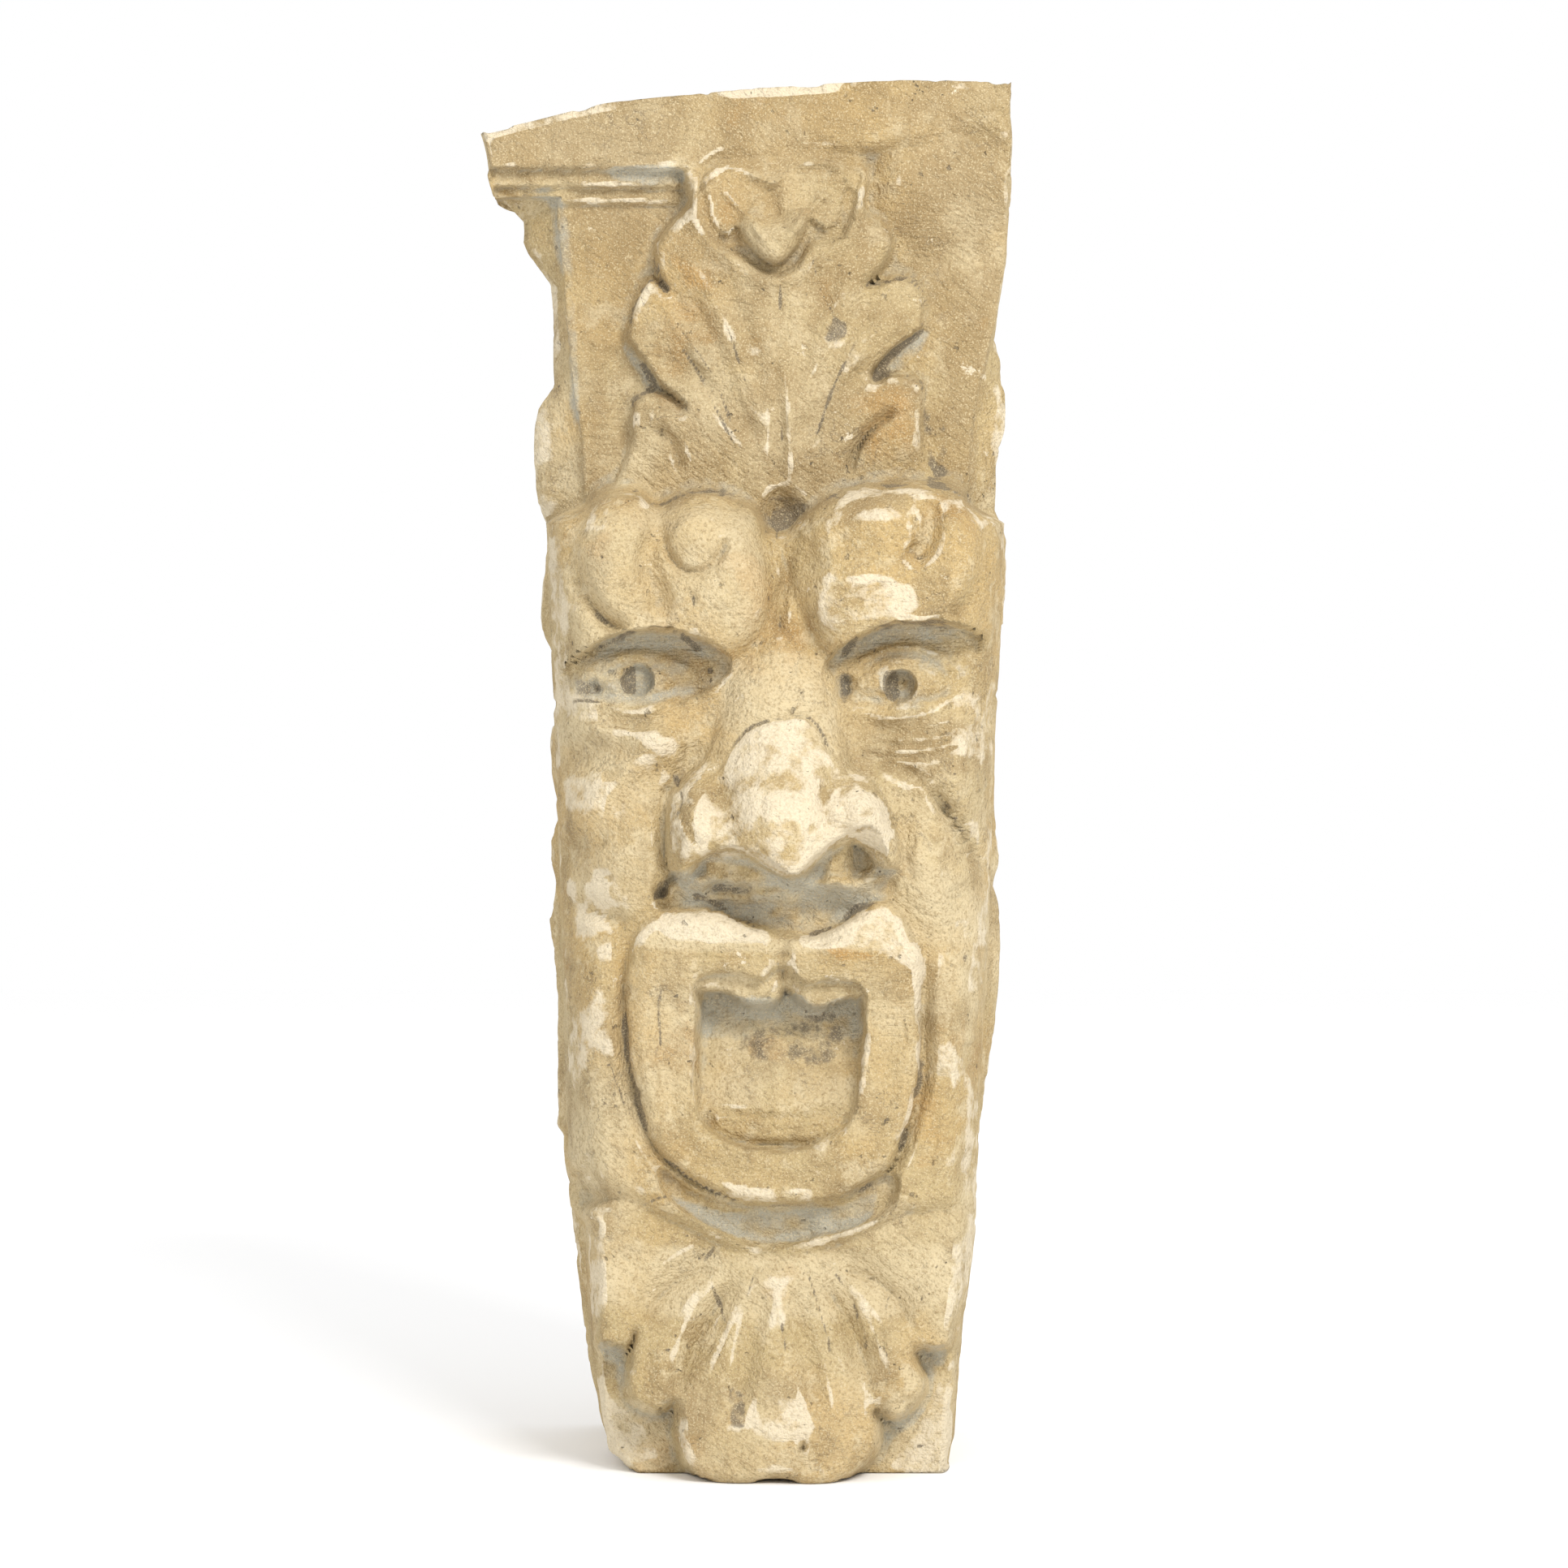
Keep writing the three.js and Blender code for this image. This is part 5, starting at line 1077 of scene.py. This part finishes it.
# painted shade: hollows, fine cuts and surfaces facing down are darkened with the grey dirt tone
dirt_and_shade = np.clip(0.8 * dirt_and_shade * (0.85 + 0.3 * mottle) + 0.22 * hollow + 0.2 * cut + 0.25 * under, 0, 1)
plaster = np.clip(plaster * (0.8 + 0.3 * mottle) + 0.55 * ramp((bulge_fine - 0.07) / 0.35)
                  * ramp((mottle + 0.5) / 0.9), 0, 1) * (1 - 0.5 * dirt_and_shade)
ochre = np.clip(ochre * (0.8 + 0.5 * mottle) + 0.35 * ramp((random_field(skin, 60, 13) - 0.1) / 0.6), 0, 1)
# painted shade: the deepest cuts darkened with the soot tone; the cracks are dark lines of their own
soot_and_shade_tone = np.clip(soot_and_shade_tone + 0.3 * cut * hollow + 0.72 * cracks, 0, 1)
# partly painted shade: darker khaki on the upper part, the leaf-tip dishes and the sides of the nose
dull_and_shade = np.clip(gather(DULL_AND_SHADE_PATCHES) * (0.9 + 0.3 * mottle), 0, 1)
# partly painted light: paler where low places are left dark by the lamp
pale_and_painted_light = np.clip(gather(PALE_AND_PAINTED_LIGHT_PATCHES) * (0.9 + 0.3 * mottle), 0, 1)
print("mean tones: plaster %.2f dirt %.2f ochre %.2f" % (plaster.mean(), dirt_and_shade.mean(), ochre.mean()))

# %% [markdown]
# ## The mesh
# One flat grid from bmesh.ops.create_grid gives every vertex a row and a column. Each is moved to its
# place on the stone, the seam down the back is merged and the two openings left, the foot and the line
# on the top bed, are filled. It is the quickest way to a closed, evenly divided block.

# %% Build the block
SEAM_REACH = 0.0004
block = bmesh.new()
bmesh.ops.create_grid(block, x_segments=skin.shape[1] - 1, y_segments=skin.shape[0] - 1, size=1.0)
block.verts.ensure_lookup_table()
flat = np.array([v.co[:] for v in block.verts])
column = np.rint((flat[:, 0] + 1) / 2 * (skin.shape[1] - 1)).astype(int)
row = np.rint((flat[:, 1] + 1) / 2 * (skin.shape[0] - 1)).astype(int)
# the vertex tones carry painted shade and painted light as well as plaster, dirt, stains and specks
tones = block.verts.layers.float_color.new("finish")
soot_and_shade_layer = block.verts.layers.float.new("soot_and_shade")
dulled = block.verts.layers.float.new("dull_and_shade")
paled = block.verts.layers.float.new("pale")
for v, r, c in zip(block.verts, row, column):
    v.co = skin[r, c] * MM
    v[tones] = (plaster[r, c], dirt_and_shade[r, c], ochre[r, c], 1.0)
    v[soot_and_shade_layer] = soot_and_shade_tone[r, c]
    v[dulled] = dull_and_shade[r, c]
    v[paled] = pale_and_painted_light[r, c]
seam = [v for v, c in zip(block.verts, column) if c in (0, skin.shape[1] - 1)]
bmesh.ops.remove_doubles(block, verts=seam, dist=SEAM_REACH)
bmesh.ops.holes_fill(block, edges=[e for e in block.edges if e.is_boundary], sides=0)
bmesh.ops.recalc_face_normals(block, faces=block.faces)
open_edges = sum(1 for e in block.edges if e.is_boundary)
for face in block.faces:
    face.smooth = len(face.verts) <= 4
stone_mesh = bpy.data.meshes.new("carved_stone")
block.to_mesh(stone_mesh)
block.free()
carved_stone = bpy.data.objects.new("carved_stone", stone_mesh)
bpy.context.scene.collection.objects.link(carved_stone)
triangles = sum(len(p.vertices) - 2 for p in stone_mesh.polygons)
print("carved stone:", triangles, "triangles, open edges", open_edges)

# %% [markdown]
# ## Weathered limestone
# Limestone takes colour at several sizes: broad warm and cool areas, hand-sized blotches, sandy grain
# and single dark pits. Each size is a noise texture on object coordinates, laid one over another. The
# tones kept on the vertices say how much of a place plaster, stain, dirt and painted shade, or a duller
# or paler tone (partly painted shade and painted light) covers; a noise decides where exactly, so their
# edges are crisp and ragged. The same textures drive the bump.

# %% Helpers for the material
stone = bpy.data.materials.new("weathered_limestone")
stone.use_nodes = True
nodes, links = stone.node_tree.nodes, stone.node_tree.links
nodes.clear()


def fill_socket(socket, value):
    if hasattr(value, "is_output"):
        links.new(value, socket)
    else:
        socket.default_value = value


def add_node(kind, **inputs):
    node = nodes.new(kind)
    for name, value in inputs.items():
        fill_socket(node.inputs[name.replace("_", " ")], value)
    return node


place = add_node("ShaderNodeTexCoord").outputs["Object"]


def noise_at(scale, detail=4.0, roughness=0.55, stretch=(1, 1, 1), turn=0.0):
    """Noise with so many features a metre; turn tilts its streaks in the plane of the front."""
    where = add_node("ShaderNodeMapping", Vector=place)
    where.vector_type = "TEXTURE"
    where.inputs["Rotation"].default_value = (0, math.radians(turn), 0)
    where.inputs["Scale"].default_value = stretch
    return add_node("ShaderNodeTexNoise", Vector=where.outputs[0], Scale=scale, Detail=detail,
                    Roughness=roughness).outputs["Fac"]


def between(value, low, high, to_low=0.0, to_high=1.0):
    node = add_node("ShaderNodeMapRange", Value=value, From_Min=low, From_Max=high,
                    To_Min=to_low, To_Max=to_high)
    return node.outputs["Result"]


def lay_over(base, tone, amount):
    node = nodes.new("ShaderNodeMix")
    node.data_type = "RGBA"
    fill_socket(node.inputs[0], amount)
    fill_socket(node.inputs[6], base)
    fill_socket(node.inputs[7], tone)
    return node.outputs[2]


def worked(kind, *values):
    node = nodes.new("ShaderNodeMath")
    node.operation = kind
    for socket, value in zip(node.inputs, values):
        fill_socket(socket, value)
    return node.outputs[0]


def covered(cover, noise, edge_width, strength=1.0):
    """Ragged cover: where noise and cover together pass one, over edge_width."""
    return between(worked("ADD", cover, noise), 1.0 - edge_width, 1.0 + edge_width, 0.0, strength)


# %% Tones of the stone, linear
BUFF = (0.47, 0.36, 0.185, 1)
CREAM = (0.63, 0.52, 0.325, 1)
KHAKI = (0.30, 0.21, 0.10, 1)
GOLD = (0.50, 0.335, 0.135, 1)
OCHRE_STAIN = (0.47, 0.245, 0.06, 1)
PLASTER_WHITE = (0.72, 0.625, 0.46, 1)
# the grey dirt tone also paints shade in sockets, hollows and undersides
GREY_DIRT_AND_SHADE = (0.42, 0.40, 0.325, 1)
# the dark brown also paints shade where the soot tone lies in pupils, nostrils and deep cuts
BROWN_DIRT_AND_SHADE = (0.16, 0.13, 0.09, 1)

# %% The tones kept on the vertices


def kept(name):
    node = nodes.new("ShaderNodeAttribute")
    node.attribute_name = name
    return node


tone = nodes.new("ShaderNodeSeparateColor")
links.new(kept("finish").outputs["Color"], tone.inputs[0])
plaster_cover, dirt_and_shade_cover, ochre_cover = (tone.outputs[name] for name in ("Red", "Green", "Blue"))
soot_and_shade_cover = kept("soot_and_shade").outputs["Fac"]
dull_cover = kept("dull_and_shade").outputs["Fac"]
pale_cover = kept("pale").outputs["Fac"]

# %% Noises at each size
broad = noise_at(8, 3)
blotch = noise_at(30, 6, 0.62)
ragged = noise_at(75, 7, 0.68)
sandy = noise_at(520, 2, 0.6)
grain = noise_at(1100, 1, 0.5)
streak = noise_at(70, 4, 0.6, (1.0, 1.0, 4.0))
level_marks = noise_at(300, 3, 0.6, (7.0, 1.0, 1.0))
slant_marks = noise_at(260, 3, 0.6, (6.0, 1.0, 1.0), 38)
worked_here = between(noise_at(12, 3), 0.44, 0.60)
marks = worked("ADD", worked("MULTIPLY", level_marks, worked_here),
               worked("MULTIPLY", slant_marks, worked("SUBTRACT", 1.0, worked_here)))

# %% Mix them, from the broadest to the finest
colour = lay_over(BUFF, CREAM, between(broad, 0.44, 0.60, 0.0, 0.8))
colour = lay_over(colour, GOLD, between(noise_at(11, 4, 0.6), 0.46, 0.62, 0.0, 0.65))
colour = lay_over(colour, KHAKI, between(blotch, 0.48, 0.68, 0.0, 0.75))
colour = lay_over(colour, CREAM, between(noise_at(46, 6, 0.7), 0.53, 0.62, 0.0, 0.7))
colour = lay_over(colour, KHAKI, between(streak, 0.55, 0.68, 0.0, 0.45))
colour = lay_over(colour, KHAKI, between(marks, 0.55, 0.72, 0.0, 0.5))
# duller areas, partly painted shade, paler areas, partly painted light, and stains
colour = lay_over(colour, KHAKI, covered(dull_cover, blotch, 0.3, 0.68))
# the paler tone is partly painted light
colour = lay_over(colour, CREAM, covered(pale_cover, blotch, 0.3, 0.8))
colour = lay_over(colour, OCHRE_STAIN, worked("MULTIPLY", covered(ochre_cover, blotch, 0.18), 0.6))
colour = lay_over(colour, KHAKI, between(sandy, 0.48, 0.72, 0.0, 0.5))
# hairlines, plaster, dirt and soot; the dirt and soot tones also carry painted shade
hairline = worked("ABSOLUTE", worked("SUBTRACT", noise_at(24, 6, 0.62), 0.5))
vein = worked("MULTIPLY", between(hairline, 0.0, 0.010, 1.0, 0.0), between(noise_at(15, 3), 0.50, 0.58))
colour = lay_over(colour, BROWN_DIRT_AND_SHADE, worked("MULTIPLY", vein, 0.5))
colour = lay_over(colour, PLASTER_WHITE, covered(plaster_cover, ragged, 0.08, 0.85))
colour = lay_over(colour, PLASTER_WHITE, between(noise_at(40, 7, 0.75), 0.655, 0.675, 0.0, 0.9))
# grey dirt, with painted shade in hollows and undersides
colour = lay_over(colour, GREY_DIRT_AND_SHADE, covered(dirt_and_shade_cover, ragged, 0.20, 0.85))
# soot specks, with painted shade in pupils, nostrils and deep cuts
colour = lay_over(colour, BROWN_DIRT_AND_SHADE, covered(soot_and_shade_cover, ragged, 0.07, 0.8))
# sand grains and small dark pits over everything
colour = lay_over(colour, KHAKI, between(sandy, 0.52, 0.74, 0.0, 0.35))
colour = lay_over(colour, CREAM, between(grain, 0.54, 0.70, 0.0, 0.65))
dark_pit = worked("MULTIPLY", between(noise_at(170, 3, 0.6), 0.68, 0.72), between(blotch, 0.42, 0.60))
colour = lay_over(colour, BROWN_DIRT_AND_SHADE, worked("MULTIPLY", dark_pit, 0.8))

# %% Surface: grain, tool marks and pits as bump
shader = nodes.new("ShaderNodeBsdfPrincipled")
links.new(colour, shader.inputs["Base Color"])
links.new(between(blotch, 0.3, 0.7, 0.82, 0.97), shader.inputs["Roughness"])
shader.inputs["Specular IOR Level"].default_value = 0.2
relief = worked("MULTIPLY_ADD", blotch, 1.6, sandy)
relief = worked("MULTIPLY_ADD", marks, 1.4, relief)
relief = worked("MULTIPLY_ADD", ragged, 1.2, relief)
relief = worked("MULTIPLY_ADD", streak, 0.6, relief)
relief = worked("MULTIPLY_ADD", dark_pit, -1.4, relief)
bump = add_node("ShaderNodeBump", Strength=0.85, Distance=0.0022, Height=relief)
links.new(bump.outputs["Normal"], shader.inputs["Normal"])
output = nodes.new("ShaderNodeOutputMaterial")
links.new(shader.outputs[0], output.inputs["Surface"])
stone_mesh.materials.append(stone)
print("material nodes:", len(nodes))

# %% Tie the piece to the frame
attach(carved_stone, "root")
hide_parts("keystone")

# %% [markdown]
# ## Floor, light and camera
# The photograph is a plain catalogue picture: white ground and even white light all round. One soft
# light from above and the right gives the carving its shade. The lens is long and level with the middle
# of the stone, and the camera stands at the sight point used above.

# %% Floor, m
FLOOR_HALF = 6.0
FLOOR_GAP = 0.0005
floor_mesh = bpy.data.meshes.new("floor")
sheet = bmesh.new()
bmesh.ops.create_grid(sheet, x_segments=1, y_segments=1, size=FLOOR_HALF)
sheet.to_mesh(floor_mesh)
sheet.free()
floor = bpy.data.objects.new("floor", floor_mesh)
bpy.context.scene.collection.objects.link(floor)
floor.location.z = cad_box[0][2] - FLOOR_GAP
paper = bpy.data.materials.new("pale_paper")
paper.use_nodes = True
paper.node_tree.nodes["Principled BSDF"].inputs["Base Color"].default_value = (0.98, 0.98, 0.98, 1)
paper.node_tree.nodes["Principled BSDF"].inputs["Roughness"].default_value = 1.0
floor_mesh.materials.append(paper)

# %% Lights
bpy.context.scene.view_settings.view_transform = "Standard"
world = bpy.data.worlds.new("studio")
bpy.context.scene.world = world
world.use_nodes = True
world.node_tree.nodes["Background"].inputs["Color"].default_value = (1, 1, 1, 1)
world.node_tree.nodes["Background"].inputs["Strength"].default_value = 1.0


def soft_light(name, at, towards, size, power):
    lamp = bpy.data.lights.new(name, "AREA")
    lamp.shape = "RECTANGLE"
    lamp.size, lamp.size_y = size
    lamp.energy = power
    holder = bpy.data.objects.new(name, lamp)
    bpy.context.scene.collection.objects.link(holder)
    holder.location = at
    away = np.array(at) - np.array(towards)
    holder.rotation_euler = (math.acos(away[2] / np.linalg.norm(away)), 0, math.atan2(away[0], -away[1]))
    return holder


MIDDLE = (0, 0, 0.4)
KEY_AT = (0.9, -2.15, 2.0)
KEY_SIZE = (0.9, 0.7)
KEY_WATTS = 58
soft_light("key", KEY_AT, MIDDLE, KEY_SIZE, KEY_WATTS)
print("lights placed")

# %% Camera
SENSOR = 36.0
FRAME_WIDE = 903.4    # how much of the stone's plane the picture spans, mm
camera_data = bpy.data.cameras.new("camera")
camera_data.sensor_width = SENSOR
camera_data.lens = SENSOR * SIGHT_DISTANCE / FRAME_WIDE
camera = bpy.data.objects.new("camera", camera_data)
bpy.context.scene.collection.objects.link(camera)
camera.location = (SIGHT[0] * MM, -SIGHT_DISTANCE * MM, SIGHT[1] * MM)
camera.rotation_euler = (math.pi / 2, 0, 0)
bpy.context.scene.camera = camera
